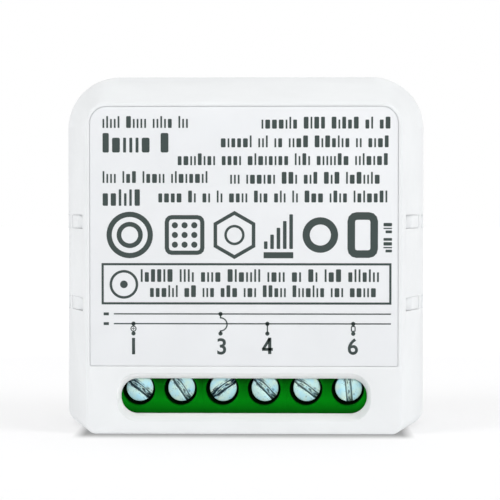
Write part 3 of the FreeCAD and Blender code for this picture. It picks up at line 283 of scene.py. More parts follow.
def two_tone(add, factor, *tones):
    """Blends two colours, each given as a tone or as another node's result."""
    ends = (tone if isinstance(tone, bpy.types.NodeSocket) else (*tone, 1) for tone in tones)
    return blend(add, factor, *ends, kind="RGBA")


def darker(tone, part):
    return tuple(level * part for level in tone)


def bump(add, height, strength, distance):
    return add("ShaderNodeBump", {"Height": height, "Strength": strength,
                                  "Distance": distance}).outputs["Normal"]


def openness(add, distance):
    """How open a place is, from 0 in a narrow hollow to 1, with which the materials paint shade.
    """
    return add("ShaderNodeAmbientOcclusion", {"Distance": distance}, samples=16).outputs["AO"]


def moulded(name, tone, roughness=0.4, grain=3500, grain_height=0.004, mottle=0.97, shine=0.5,
            paint_light_by=None):
    """Injection-moulded plastic: a fine grain, faint mottling and uneven gloss."""
    material, add, surface, place = new_material(name)
    tint = two_tone(add, spread(add, noise(add, place, 180)), tone, darker(tone, mottle))
    # An optional painter lifts the tint with painted light, as on the slopes round the window.
    tint = paint_light_by(add, place, tint) if paint_light_by else tint
    gloss = spread(add, noise(add, place, 900), roughness - 0.05, roughness + 0.05)
    surface({"Base Color": tint, "Roughness": gloss, "IOR": 1.5, "Specular IOR Level": shine,
             "Normal": bump(add, noise(add, place, grain), 0.35, grain_height * MM)})
    return material


def plated(name, tone, roughness, scuff=0.2):
    """Plated steel: fine scratches, stains and a worn gloss."""
    material, add, surface, place = new_material(name)
    stains = spread(add, noise(add, place, 1400, 4.0, 0.6))
    scratches = noise(add, remapped(add, place, Scale=(1.0, 1.0, 0.12)), 5200, 5.0, 0.7)
    surface({"Base Color": two_tone(add, stains, tone, darker(tone, 0.8)), "Metallic": 1.0,
             "Roughness": spread(add, scratches, roughness - scuff * 0.4, roughness + scuff),
             "Normal": bump(add, scratches, 0.4, 0.006 * MM)})
    return material


# Building blocks of the shapes.

def alone(piece):
    """Makes one object the only selected one, and the active one."""
    bpy.ops.object.select_all(action="DESELECT")
    piece.select_set(True)
    bpy.context.view_layer.objects.active = piece


def started(add_primitive, **settings):
    """A new piece that starts from a plain shape."""
    bpy.ops.object.select_all(action="DESELECT")
    add_primitive(**settings)
    return bpy.context.object


def move_to(piece, place):
    """Moves a piece and keeps its origin where it is."""
    alone(piece)
    piece.location = place
    bpy.ops.object.transform_apply()


def in_edit_mode(piece, work):
    alone(piece)
    bpy.ops.object.mode_set(mode="EDIT")
    bpy.ops.mesh.select_all(action="SELECT")
    work()
    bpy.ops.object.mode_set(mode="OBJECT")


def pick(piece, wanted):
    """Selects the points of a mesh by their place; leaves the piece in edit mode."""
    alone(piece)
    bpy.ops.object.mode_set(mode="EDIT")
    bpy.ops.mesh.select_mode(type="VERT")
    bpy.ops.mesh.select_all(action="DESELECT")
    bpy.ops.object.mode_set(mode="OBJECT")
    for point in piece.data.vertices:
        point.select = wanted(point.co)
    bpy.ops.object.mode_set(mode="EDIT")


def shift(piece, wanted, way):
    """Moves some of a mesh's points."""
    pick(piece, wanted)
    bpy.ops.transform.translate(value=way)
    bpy.ops.object.mode_set(mode="OBJECT")


def stretch(piece, wanted, factors, middle):
    """Moves some of a mesh's points away from a middle or towards it."""
    pick(piece, wanted)
    bpy.ops.transform.resize(value=factors, center_override=middle)
    bpy.ops.object.mode_set(mode="OBJECT")


def smooth(angle=SMOOTH):
    bpy.ops.object.shade_smooth_by_angle(angle=math.radians(angle))


def outward():
    bpy.ops.mesh.normals_make_consistent(inside=False)


def apply_modifier(piece, kind, **settings):
    alone(piece)
    modifier = piece.modifiers.new(kind.title(), kind)
    for key, value in settings.items():
        setattr(modifier, key, value)
    bpy.ops.object.modifier_apply(modifier=modifier.name)


def dress(piece, material):
    piece.data.materials.clear()
    piece.data.materials.append(material)


def settle(piece, name, material, body):
    """Gives a new piece its name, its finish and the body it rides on."""
    piece.name = name
    dress(piece, material)
    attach(piece, body)


def dress_node(node, material):
    """Gives a CAD node its finish in its object's own slots."""
    target = frame["nodes"][node]
    if not target.material_slots:
        target.data.materials.append(None)
    for slot in target.material_slots:
        slot.link = "OBJECT"
        slot.material = material


def bevelled_copy(node, name, material, edge, body, angle=32, segments=2, shape=None):
    """A merged copy of a CAD node with softened edges, which stands for the node."""
    source = frame["nodes"][node]
    piece = bpy.data.objects.new(name, source.data.copy())
    bpy.context.scene.collection.objects.link(piece)

    def merge():
        bpy.ops.mesh.remove_doubles(threshold=0.002 * MM)
        bpy.ops.mesh.dissolve_limited(angle_limit=math.radians(0.8))

    in_edit_mode(piece, merge)
    if shape:
        shape(piece)
    if edge:
        apply_modifier(piece, "BEVEL", width=edge, segments=segments, limit_method="ANGLE",
                       angle_limit=math.radians(angle), harden_normals=False)
    alone(piece)
    smooth()
    settle(piece, name, material, body)
    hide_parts(node)
    return piece


def join(pieces):
    """One object from several."""
    alone(pieces[0])
    for piece in pieces:
        piece.select_set(True)
    bpy.ops.object.join()
    return pieces[0]


def wind(piece, axis, pitch, reach, start, middle, angle):
    """Sweeps an outline round X (0) or Y (1) as one helix with closed ends, and moves it."""
    corners = len(piece.data.vertices)
    apply_modifier(piece, "SCREW", axis="XY"[axis], screw_offset=pitch,
                   iterations=int(reach / pitch) - 1, steps=TURN_STEPS,
                   render_steps=TURN_STEPS, use_merge_vertices=True)

    def close():
        bpy.ops.mesh.fill_holes(sides=corners)
        outward()

    in_edit_mode(piece, close)
    place = Vector(middle)
    place[axis] = start - min(point.co[axis] for point in piece.data.vertices)
    move_to(piece, place)
    smooth(angle)
    return piece


def painted_window_light(add, place, tint):
    """Painted light: lifts the colour of the slopes round the screw window towards a near white,
    in place of light going to and fro in the plastic.
    """
    face = box("front_cover")[0].y
    end = box("terminal_block_3")[1]
    x, y, z = axes(add, place)
    upper = ramp(add, z, end.z / 2 - MM, end.z / 2 + MM)
    deep = ramp(add, y, face + 0.5 * MM, face + 1.4 * MM, 0.25, 1.0)
    # Where each mask starts and where it is full: behind the face, before the window's floor,
    # from the left end, up to the right end and up to the upper slope.
    masks = ((y, face + 0.05 * MM, face + 0.3 * MM), (y, face + 1.9 * MM, face + 1.6 * MM),
             (x, -end.x - 2.0 * MM, -end.x - 1.6 * MM), (x, end.x - 0.3 * MM, end.x - 2.3 * MM),
             (z, end.z + 0.6 * MM, end.z))
    lift = times(add, *(ramp(add, *mask) for mask in masks), maths(add, "MAXIMUM", upper, deep))
    return two_tone(add, lift, tint, looks().slope)


# Middle heights of the clip arms, how tall an arm is and how far out all of them begin.
ARM_HEIGHTS = (15.3 * MM, 25.2 * MM)
ARM_WIDTH = 1.35 * MM
ARM_START = 16 * MM


def widen_arms(piece):
    """Brings the clip arms up to the sides of their windows, so that no dark line shows."""
    for height in ARM_HEIGHTS:
        for way in (-1, 1):
            side = height + way * ARM_WIDTH / 2
            shift(piece, lambda at: abs(at.z - side) < ON_PLANE and abs(at.x) > ARM_START,
                  (0, 0, way * sizes().arm_gap))


class UNIT_OT_case(bpy.types.Operator):
    """The white cover and base with softened edges"""
    bl_idname = "unit.case"
    bl_label = "Case"

    def execute(self, context):
        white = moulded("white_moulding", looks().case, roughness=0.55, shine=0.25,
                        paint_light_by=painted_window_light)
        for node, shape in (("front_cover", None), ("rear_base", widen_arms)):
            bevelled_copy(node, f"{node}_shell", white, sizes().case_edge, "case",
                          shape=shape)
        return {"FINISHED"}


class UNIT_OT_label(bpy.types.Operator):
    """The printed film on the face"""
    bl_idname = "unit.label"
    bl_label = "Label"

    def execute(self, context):
        film = moulded("label_film", looks().label, roughness=0.35, grain=6000,
                       grain_height=0.002)
        bevelled_copy("label", "label_sheet", film, sizes().film_edge, "case")
        return {"FINISHED"}


# The print. Its places and sizes are in millimetres on the label's plane.

UPRIGHT = (math.radians(90), 0, 0)


def draw_on(paint):
    """A flat print made in one edit session: paint() adds shapes that face the viewer."""
    piece = started(bpy.ops.mesh.primitive_plane_add, size=MM)
    bpy.ops.object.mode_set(mode="EDIT")
    bpy.ops.mesh.select_all(action="SELECT")
    bpy.ops.mesh.delete(type="VERT")
    paint()
    bpy.ops.object.mode_set(mode="OBJECT")
    return piece


def bar(x, z, width, height, round_off=0.0):
    """A flat bar by its middle."""
    bpy.ops.mesh.primitive_plane_add(size=MM, rotation=UPRIGHT, location=(x * MM, 0, z * MM))
    bpy.ops.transform.resize(value=(width, 1, height))
    if round_off:
        bpy.ops.mesh.bevel(offset=round_off * MM, segments=3, affect="VERTICES")


def hollow(stroke):
    """Turns the shape just added into an outline."""
    bpy.ops.mesh.inset(thickness=stroke * MM)
    bpy.ops.mesh.delete(type="FACE")


def disc(x, z, radius, stroke=0.0, corners=40):
    """A flat disc, or with a stroke a ring."""
    bpy.ops.mesh.primitive_circle_add(vertices=corners, radius=radius * MM, fill_type="NGON",
                                      rotation=UPRIGHT, location=(x * MM, 0, z * MM))
    if stroke:
        hollow(stroke)


def frame_line(x, z, width, height, stroke, round_off=0.0):
    """The outline of a bar."""
    bar(x, z, width, height, round_off)
    hollow(stroke)


def bar_row(dice, left, right, foot, height, upright=False):
    """A row of short bars in groups, which stands where the real label has words."""
    cell_gap, group_gap = height * 0.17, height * 0.4
    place, group = left, dice.randint(3, 8)
    while place < right - height * 0.25:
        width = min(height * dice.choice((0.15, 0.15, 0.32, 0.4)), right - place)
        tall = height if dice.random() < 0.35 else height * 0.76
        corner = min(width, tall) * 0.2
        if upright:
            bar(foot - tall / 2, place + width / 2, tall, width, corner)
        else:
            bar(place + width / 2, foot + tall / 2, width, tall, corner)
        group -= 1
        place += width + cell_gap
        if group == 0:
            place += group_gap
            group = dice.randint(2, 8)


# Rows on the label as left end, right end, foot and height, then the upright row at its side.
LABEL_ROWS = (
    (-16.7, -6.1, 36.3, 1.4), (2.1, 17.5, 36.2, 1.4),
    (-16.7, -8.0, 33.4, 2.3), (-2.7, 17.5, 34.0, 1.4),
    (-7.8, 17.5, 31.9, 1.4),
    (-16.7, -4.0, 29.8, 1.4), (-1.6, 17.1, 29.7, 1.4),
    (-16.7, -12.0, 27.1, 1.95), (-10.1, 17.5, 27.5, 1.4),
    (-12.2, 16.7, 18.1, 1.5), (-11.1, 15.8, 16.3, 1.4),
)
UPRIGHT_ROW = (21.6, 25.4, 17.5, 1.0)


def paint_rows():
    dice = random.Random(7)
    for row in LABEL_ROWS:
        bar_row(dice, *row)
    bar_row(dice, *UPRIGHT_ROW, upright=True)


def paint_symbols():
    """Plain shapes in a row: rings, a grid of dots, a six-sided nut, steps and two blocks."""
    low, high = 20.9, 26.4
    middle = (low + high) / 2
    rings, grid, nut, ring, block = -13.5, -7.0, -1.1, 9.05, 14.05
    disc(rings, middle, 2.75, 0.62)
    disc(rings, middle, 1.55, 0.55)
    frame_line(grid, middle, 4.7, 4.7, 0.5, 0.8)
    for column in (-1, 0, 1):
        for row in (-1, 0, 1):
            disc(grid + column * 1.15, middle + row * 1.15, 0.36)
    disc(nut, middle, 2.85, 0.42, corners=6)
    disc(nut, middle, 1.2, 0.3)
    for step in range(5):
        tall = 0.9 + step * 0.8
        bar(2.6 + step * 0.75, low + 1.1 + tall / 2, 0.42, tall, 0.08)
    bar(4.1, low + 0.36, 3.5, 0.72)
    disc(ring, middle, 2.1, 0.85)
    frame_line(block, middle, 3.6, 5.4, 0.9, 1.05)


def paint_diagram():
    """A plain wiring diagram: a frame, two lines and four drops to the terminals."""
    frame_line(0.3, 17.87, 34.3, 4.9, 0.26)
    for radius, stroke in ((1.7, 0.3), (0.45, 0)):
        disc(-14.2, 17.8, radius, stroke)
    upper, lower, ends, line = 14.3, 13.14, 11.98, 0.15
    for height in (upper, lower):
        bar(1.0, height, 32.8, line)
        bar(-16.3, height, 0.62, 0.34)
    first, second, third, fourth = -13.07, -2.75, 2.8, 12.95
    for across, height in ((first, lower), (second, upper), (third, lower), (fourth, lower)):
        disc(across, height, 0.25, corners=20)
        disc(across, ends, 0.25, corners=20)
    bar(third, (lower + ends) / 2, line, lower - ends)
    half_way = 12.55
    disc(first, half_way, 0.36, 0.11, corners=24)
    for width, height in ((0.4, 0.07), (0.07, 0.4)):
        bar(first, half_way, width, height)
    frame_line(fourth, half_way, 0.56, 0.7, 0.13, 0.16)
    for height in (13.95, 12.2):
        bar(second, height, line, 0.35)
    # The half ring with which the second drop steps over the lower line.
    centre = (second * MM, 0, 13.07 * MM)
    bpy.ops.mesh.primitive_circle_add(vertices=48, radius=0.85 * MM, rotation=UPRIGHT,
                                      location=centre)
    bpy.ops.mesh.extrude_edges_move()
    bpy.ops.transform.resize(value=(0.82, 1, 0.82), center_override=centre)
    bpy.ops.mesh.select_more()
    bpy.ops.mesh.bisect(plane_co=centre, plane_no=(1, 0, 0), clear_inner=True)


# The plain numbers' middles, their foot and height, and how far their strokes are thickened.
NUMBERS = (("1", -13.07), ("3", -2.6), ("6", 12.9))
FOUR_ACROSS = 2.8
NUMBER_FOOT, NUMBER_HEIGHT = 9.55, 1.95
BOLDER = 0.018


def plain_number(text, x):
    """A plain number as a mesh, by the middle of its foot."""
    piece = started(bpy.ops.object.text_add, rotation=UPRIGHT)
    piece.data.body = text
    piece.data.align_x = "CENTER"
    piece.data.offset = BOLDER
    bpy.ops.object.convert(target="MESH")
    piece = bpy.context.object
    bpy.ops.object.transform_apply(location=False, rotation=True, scale=False)
    piece.scale = (NUMBER_HEIGHT * MM / piece.dimensions.z,) * 3
    move_to(piece, (x * MM, 0, NUMBER_FOOT * MM))
    return piece


def paint_four():
    """A plain 4 from three bars: the font's own closes up when it is made bolder."""
    x, foot, height = FOUR_ACROSS, NUMBER_FOOT, NUMBER_HEIGHT
    stroke = height * 0.2
    stem, left, top = x + height * 0.14, x - height * 0.26, foot + height * 0.95
    cross = foot + height * 0.29
    bar(stem, foot + height / 2, stroke, height)
    bar(x, cross, height * 0.66, stroke * 0.9)
    middle = ((stem + left) / 2, (top + cross) / 2)
    bar(*middle, stroke * 0.85, math.hypot(stem - left, top - cross))
    bpy.ops.transform.rotate(value=-math.atan2(stem - left, top - cross), orient_axis="Y",
                             center_override=(middle[0] * MM, 0, middle[1] * MM))


class UNIT_OT_print(bpy.types.Operator):
    """The plain print on the label: rows of bars, symbols, a wiring diagram and numbers"""
    bl_idname = "unit.print"
    bl_label = "Print"

    def execute(self, context):
        ink = moulded("print_ink", looks().ink, roughness=0.5, grain=5000, grain_height=0.001,
                      shine=0.2)
        layers = [draw_on(paint) for paint in (paint_rows, paint_symbols, paint_diagram,
                                               paint_four)]
        layers += [plain_number(text, across) for text, across in NUMBERS]
        piece = join(layers)
        apply_modifier(piece, "SOLIDIFY", thickness=0.008 * MM, offset=1.0)
        move_to(piece, (0, box("label")[0].y - 0.002 * MM, 0))
        settle(piece, "label_print", ink, "case")
        return {"FINISHED"}


HOLE_RADIUS = 1.9 * MM
HOLE_PITCH = 5.0 * MM
# The driver holes are seen a little wider than the heads' own bores, and low on the left.
HOLE_OPENING = 1.035
HOLE_SHIFT = Vector((-0.1 * MM, 0, -0.1 * MM))
# Heights in millimetres from which painted shade darkens the green towards the window's lower and
# upper edge.
PAINTED_EDGE_SHADE = ((2.4, 3.9), (6.5, 5.8))


def green_finish():
    """Green plastic with painted shade: it darkens in its holes, in the upper half between two
    holes and towards the window's lower and upper edge.
    """
    tone = looks().terminal
    material, add, surface, place = new_material("green_moulding")
    grain = two_tone(add, spread(add, noise(add, place, 260)), tone, darker(tone, 0.8))
    painted_hole_shade = ramp(add, openness(add, HOLE_RADIUS), 0.22, 0.72, 0.05, 1.0)
    x, _, z = axes(add, place)
    # Painted shade: between two holes the upper half is darkened, as if in the shade of the
    # window's edge.
    wave = maths(add, "COSINE", times(add, x, 2 * math.pi / HOLE_PITCH))
    between = ramp(add, wave, 0.35, 1.0, kind="SMOOTHSTEP")
    middle = middle_of("terminal_screw_1").z
    above = ramp(add, z, middle - HOLE_RADIUS * 0.8, middle + HOLE_RADIUS * 0.7, 0.0, 0.55)
    bright = maths(add, "SUBTRACT", 1.0, times(add, between, above))
    edges = (ramp(add, z, first * MM, last * MM, 0.4, 1.0) for first, last in PAINTED_EDGE_SHADE)
    light = times(add, painted_hole_shade, bright, *edges)
    surface({"Base Color": two_tone(add, light, BLACK, grain), "Specular IOR Level": 0.02,
             "Roughness": spread(add, noise(add, place, 900), 0.4, 0.5),
             "Normal": bump(add, noise(add, place, 2600), 0.35, 0.005 * MM)})
    return material


class UNIT_OT_terminals(bpy.types.Operator):
    """The green terminal blocks, closed up to one row, with rounded rims on their holes"""
    bl_idname = "unit.terminals"
    bl_label = "Terminals"

    def execute(self, context):
        green, size = green_finish(), sizes()
        for number in (1, 2, 3):
            node = f"terminal_block_{number}"
            low, high = box(node)
            bores = [middle_of(f"terminal_screw_{n}") for n in (2 * number - 1, 2 * number)]

            def on_rim(at):
                off = min(off_axis(at, bore + HOLE_SHIFT) for bore in bores)
                return (at.y < low.y + ON_PLANE
                        and abs(off - HOLE_RADIUS * HOLE_OPENING) < ON_CIRCLE)

            def shape(piece):
                """Closes the seams, opens the holes a little and rounds their rims."""
                for way, side in ((-1, low.x), (1, high.x)):
                    shift(piece, lambda at: abs(at.x - side) < ON_PLANE, (way * size.seam, 0, 0))
                for bore in bores:
                    pick(piece, lambda at: abs(off_axis(at, bore) - HOLE_RADIUS) < ON_CIRCLE)
                    bpy.ops.transform.resize(value=(HOLE_OPENING, 1, HOLE_OPENING),
                                             center_override=bore)
                    bpy.ops.transform.translate(value=HOLE_SHIFT)
                    bpy.ops.object.mode_set(mode="OBJECT")
                pick(piece, on_rim)
                bpy.ops.mesh.bevel(offset=size.rim, segments=3, affect="EDGES")
                bpy.ops.object.mode_set(mode="OBJECT")

            bevelled_copy(node, f"terminal_moulding_{number}", green, size.block_edge, "case",
                          shape=shape)
        return {"FINISHED"}


# How far each slot is turned down to the right, in degrees.
SLOT_TURNS = (40, 57, -34, 47, 38, 85)
# How much the driver has worn each screw's plating, from 0 to 1.
SCREW_WEAR = (0.9, 0.65, 1.0, 0.7, 0.6, 0.35)
HEAD_THICKNESS = 1.1 * MM
# The CAD screw's own chamfer and shank, and how far below the head the thread starts.
CAD_CHAMFER = 0.15 * MM
CAD_SHANK = 1.25 * MM
THREAD_START = 0.15 * MM


def screw_finish(number, middle, face):
    """Zinc plating worn by the driver: dark streaks in the slot and scuffs beside it, and painted
    shade that darkens the slot towards its sides.
    """
    wear, half = SCREW_WEAR[number - 1], sizes().slot_width / 2
    material, add, surface, place = new_material(f"scuffed_zinc_{number}")
    turned = remapped(add, place, Location=(middle.x, face, middle.z),
                      Rotation=(0, math.radians(SLOT_TURNS[number - 1]), 0))
    streaked = remapped(add, turned, Scale=(5.0, 1.0, 1.0))
    _, depth, across = axes(add, turned)
    off = maths(add, "ABSOLUTE", across)

    def soft(value, *ends):
        return ramp(add, value, *ends, kind="SMOOTHSTEP")

    def worn(place, scale, detail, roughness, first, last, gain):
        """Patches of a noise, the more the more the screw is worn."""
        return soft(noise(add, place, scale, detail, roughness), first - gain * wear,
                    last - gain * wear)

    on_head = soft(depth, HEAD_THICKNESS * 0.7, HEAD_THICKNESS * 0.8, 1, 0)
    inside = soft(off, half * 0.97, half * 1.03, 1, 0)
    beside = soft(off, half, half * 2.4, 1, 0)
    # Painted shade: the slot's floor darkens towards its sides, where its walls would shade it.
    rims = soft(off, half * 0.45, half * 0.8)
    streaks = worn(streaked, 9000, 2.0, 0.6, 0.54, 0.6, 0.1)
    nicks = worn(streaked, 4000, 4.0, 0.75, 0.58, 0.63, 0.08)
    spots = worn(place, 5200, 3.0, 0.6, 0.64, 0.7, 0)
    slot_wear_and_shade = times(add, inside, maths(add, "MAXIMUM", times(add, streaks, 0.9), rims))
    dark = maths(add, "MAXIMUM", slot_wear_and_shade, times(add, beside, nicks))
    dark = maths(add, "MAXIMUM", times(add, dark, 0.6 + 0.4 * wear), times(add, spots, 0.5))
    stains = two_tone(add, spread(add, noise(add, place, 1100, 4.0)), looks().zinc,
                      looks().cream)
    fine = noise(add, place, 7000, 5.0, 0.7)
    surface({"Base Color": two_tone(add, times(add, on_head, dark), stains, looks().scuff),
             "Roughness": spread(add, fine, 0.3, 0.55), "Metallic": 1.0,
             "Normal": bump(add, fine, 0.4, 0.006 * MM)})
    return material


def thread(start, reach, middle):
    """A screw thread round the Y axis, moved to its screw."""
    size = sizes()
    piece = started(bpy.ops.mesh.primitive_circle_add, vertices=3,
                    radius=size.thread_pitch * 0.48, rotation=(0, 0, -math.radians(90)))
    bpy.ops.object.transform_apply()
    depth = size.thread_crest - size.thread_root
    in_edit_mode(piece, lambda: bpy.ops.transform.resize(
        value=(depth / (size.thread_pitch * 0.62), 1, 1)))
    crest = max(point.co.x for point in piece.data.vertices)
    move_to(piece, (size.thread_crest - crest, 0, 0))
    return wind(piece, 1, size.thread_pitch, reach, start, middle, SMOOTH)


class UNIT_OT_screws(bpy.types.Operator):
    """The slotted screws with their threads"""
    bl_idname = "unit.screws"
    bl_label = "Screws"

    def execute(self, context):
        size = sizes()
        for number in SCREWS:
            node = f"terminal_screw_{number}"
            low, high = box(node)
            middle, radius = (low + high) / 2, (high.x - low.x) / 2
            face, under = low.y, low.y + HEAD_THICKNESS
            grow = (radius - size.head_chamfer) / (radius - CAD_CHAMFER)
            shrink = size.thread_root / CAD_SHANK

            def on_head(at):
                return at.y < face + ON_PLANE and off_axis(at, middle) > radius * 0.8

            def on_shank(at):
                return (at.y > under - ON_PLANE
                        and abs(off_axis(at, middle) - CAD_SHANK) < ON_CIRCLE)

            def shape(piece):
                """Narrows the chamfer round the head and takes the shank to the thread's root."""
                stretch(piece, on_head, (grow, 1, grow), middle)
                stretch(piece, on_shank, (shrink, 1, shrink), middle)

            finish = screw_finish(number, middle, face)
            bevelled_copy(node, f"slotted_screw_{number}", finish, size.screw_edge,
                          f"screw_{number}", shape=shape)
            ridge = thread(under + THREAD_START, high.y - under, middle)
            settle(ridge, f"screw_thread_{number}", finish, f"screw_{number}")
        return {"FINISHED"}


def soldered_board(name, tone):
    """Solder resist over copper: darker lines between the areas and tinned dots."""
    material, add, surface, place = new_material(name)

    def cells(scale, randomness=1.0, distance="EUCLIDEAN"):
        return add("ShaderNodeTexVoronoi", {"Vector": place, "Scale": scale,
                                            "Randomness": randomness},
                   distance=distance, feature="F1").outputs["Distance"]

    step = ramp(add, cells(330, 0.9, "MANHATTAN"), 0.42, 0.5)
    mask = two_tone(add, step, tone, darker(tone, 0.6))
    dots = ramp(add, cells(520), 0.13, 0.1)
    surface({"Base Color": two_tone(add, dots, mask, looks().tin),
             "Roughness": spread(add, noise(add, place, 900), 0.25, 0.4),
             "Normal": bump(add, step, 0.5, 0.02 * MM)})
    return material


def clear_finish():
    """Clear moulded plastic with faint flow lines."""
    material, add, surface, place = new_material("clear_moulding")
    flow = noise(add, place, 1500, 2.0)
    surface({"Base Color": two_tone(add, flow, (0.95, 0.97, 0.98), (0.88, 0.91, 0.93)),
             "Roughness": spread(add, flow, 0.05, 0.16), "Transmission Weight": 0.9,
             "IOR": 1.49})
    return material


def enamelled(tone):
    """Enamelled wire: a clear gloss over metal, with the wire's own small unevenness."""
    material, add, surface, place = new_material("copper_wire")
    uneven = noise(add, place, 2200, 3.0)
    surface({"Base Color": two_tone(add, spread(add, uneven), tone, darker(tone, 0.66)),
             "Roughness": spread(add, uneven, 0.22, 0.42), "Metallic": 0.85,
             "Coat Weight": 0.5, "Normal": bump(add, noise(add, place, 6000), 0.3, 0.004 * MM)})
    return material


# The inner plastics: tone, material's name, roughness, grain, its height and mottling.
PLASTICS = (
    ("black", "black_moulding", 0.45, 3000, 0.004, 0.97),
    ("ferrite", "sintered_ferrite", 0.6, 1500, 0.02, 0.7),
    ("tape", "winding_tape", 0.2, 420, 0.03, 0.85),
    ("sleeve", "shrink_sleeve", 0.18, 380, 0.02, 0.8),
    ("film_box", "film_box", 0.3, 3500, 0.004, 0.9),
    ("dip", "dipped_coating", 0.25, 700, 0.03, 0.8),
    ("lacquer", "resistor_lacquer", 0.4, 1400, 0.01, 0.85),
    ("lamp", "lamp_phosphor", 0.2, 3500, 0.004, 0.97),
)


def finishes():
    """The inner parts' finishes by name, made once."""
    tone = looks()
    return {
        "tin": plated("tin_plating", tone.tin, 0.28),
        "brass": plated("stamped_brass", tone.brass, 0.3),
        "iron": plated("nickelled_iron", tone.iron, 0.35),
        "copper": enamelled(tone.copper),
        "board": soldered_board("green_resist", tone.board),
        "dark_board": soldered_board("blue_resist", tone.dark_board),
        "relay": moulded("relay_moulding", darker(tone.black, 1.4), roughness=0.25, grain=2200),
        **{plastic: moulded(name, getattr(tone, plastic), *values)
           for plastic, name, *values in PLASTICS},
        "clear": clear_finish(),
    }


# Finish, the record's slot and the nodes that have them.
INNER_NODES = (
    ("tin", "plated_steel", (*(f"clamp_cage_{n}" for n in SCREWS), "radio_shield",
                             "crystal_can")),
    ("brass", "contact_brass", (*(f"contact_bar_{n}" for n in SCREWS), "contact_blade",
                                "fixed_contact")),
    ("black", "chip_black", ("switch_body", "switch_plunger", "bridge_rectifier",
                             "header_strip", "control_chip", "receiver_chip")),
    ("lamp", "lamp_clear", ("status_lamp",)),
    ("clear", "lamp_clear", ("light_pipe",)),
    ("relay", "relay_shell", ("relay_case",)),
    ("black", "relay_shell", ("relay_base", "relay_bobbin", "transformer_bobbin")),
    ("iron", "soft_iron", ("relay_core", "relay_yoke", "relay_armature")),
    ("film_box", "film_yellow", ("film_capacitor",)),
    ("ferrite", "ferrite", ("transformer_core", "filter_choke")),
    ("tape", "winding_tape", ("transformer_winding",)),
)
# The nodes that ride on another body than the case.
MOVING = {"switch_plunger": "plunger", "relay_armature": "armature",
          "contact_blade": "armature", **{f"clamp_cage_{n}": f"cage_{n}" for n in SCREWS}}
PLAIN_NODES = (("main_board", "board"), ("radio_board", "dark_board"), ("header_beads", "tin"),
               ("small_chips", "black"), ("aerial_wire", "copper"))
METALS = ("tin", "brass", "iron")
# The choke's flange and the waist that its wire lies on.
CHOKE_FLANGE, CHOKE_WAIST = 1.0 * MM, 2.0 * MM
# Chips with bent legs and how many they have on a side.
LEGGED_CHIPS = (("control_chip", 8), ("receiver_chip", 4))
# Solder cones as foot radius, tip radius and height in millimetres.
BAR_CONE, LEAD_CONE = (1.0, 0.55, 0.8), (0.75, 0.25, 0.55)
# Where the supply's leads come through the board, in millimetres.
SOLDERED = ((8.2, 24.3), (8.2, 22.2), (13.9, 25.5), (14.3, 11.0), (14.3, 20.4),
            (-2.4, 27.1), (8.1, 26.4), (-14.6, 36.2), (-11.6, 36.2), (-8.6, 36.2), (-5.6, 36.2),
            (-14.6, 25.4), (-5.6, 25.4), (12.4, 30.0), (15.2, 33.6), (0.2, 36.6), (2.2, 36.6))


def shorten(piece):
    """Keeps the plunger's foot just off the bottom of its well when it is pressed."""
    foot = min(point.co.y for point in piece.data.vertices)
    shift(piece, lambda at: at.y < foot + ON_PLANE, (0, sizes().foot_gap, 0))


def wire_turns(axis, start, reach, radius, wire, middle):
    """Turns of round wire side by side round an axis, 0 for X and 1 for Y."""
    piece = started(bpy.ops.mesh.primitive_circle_add, vertices=8, radius=wire / 2)
    piece.location[1 - axis] = radius - wire / 2
    bpy.ops.object.transform_apply()
    return wind(piece, axis, wire, reach, start, middle, SMOOTH_ROUND)


def bare_outside(piece, metal, coated):
    """Gives the faces that aren't coated the bare metal."""
    piece.data.materials.append(metal)
    for face in piece.data.polygons:
        if not coated(face):
            face.material_index = 1


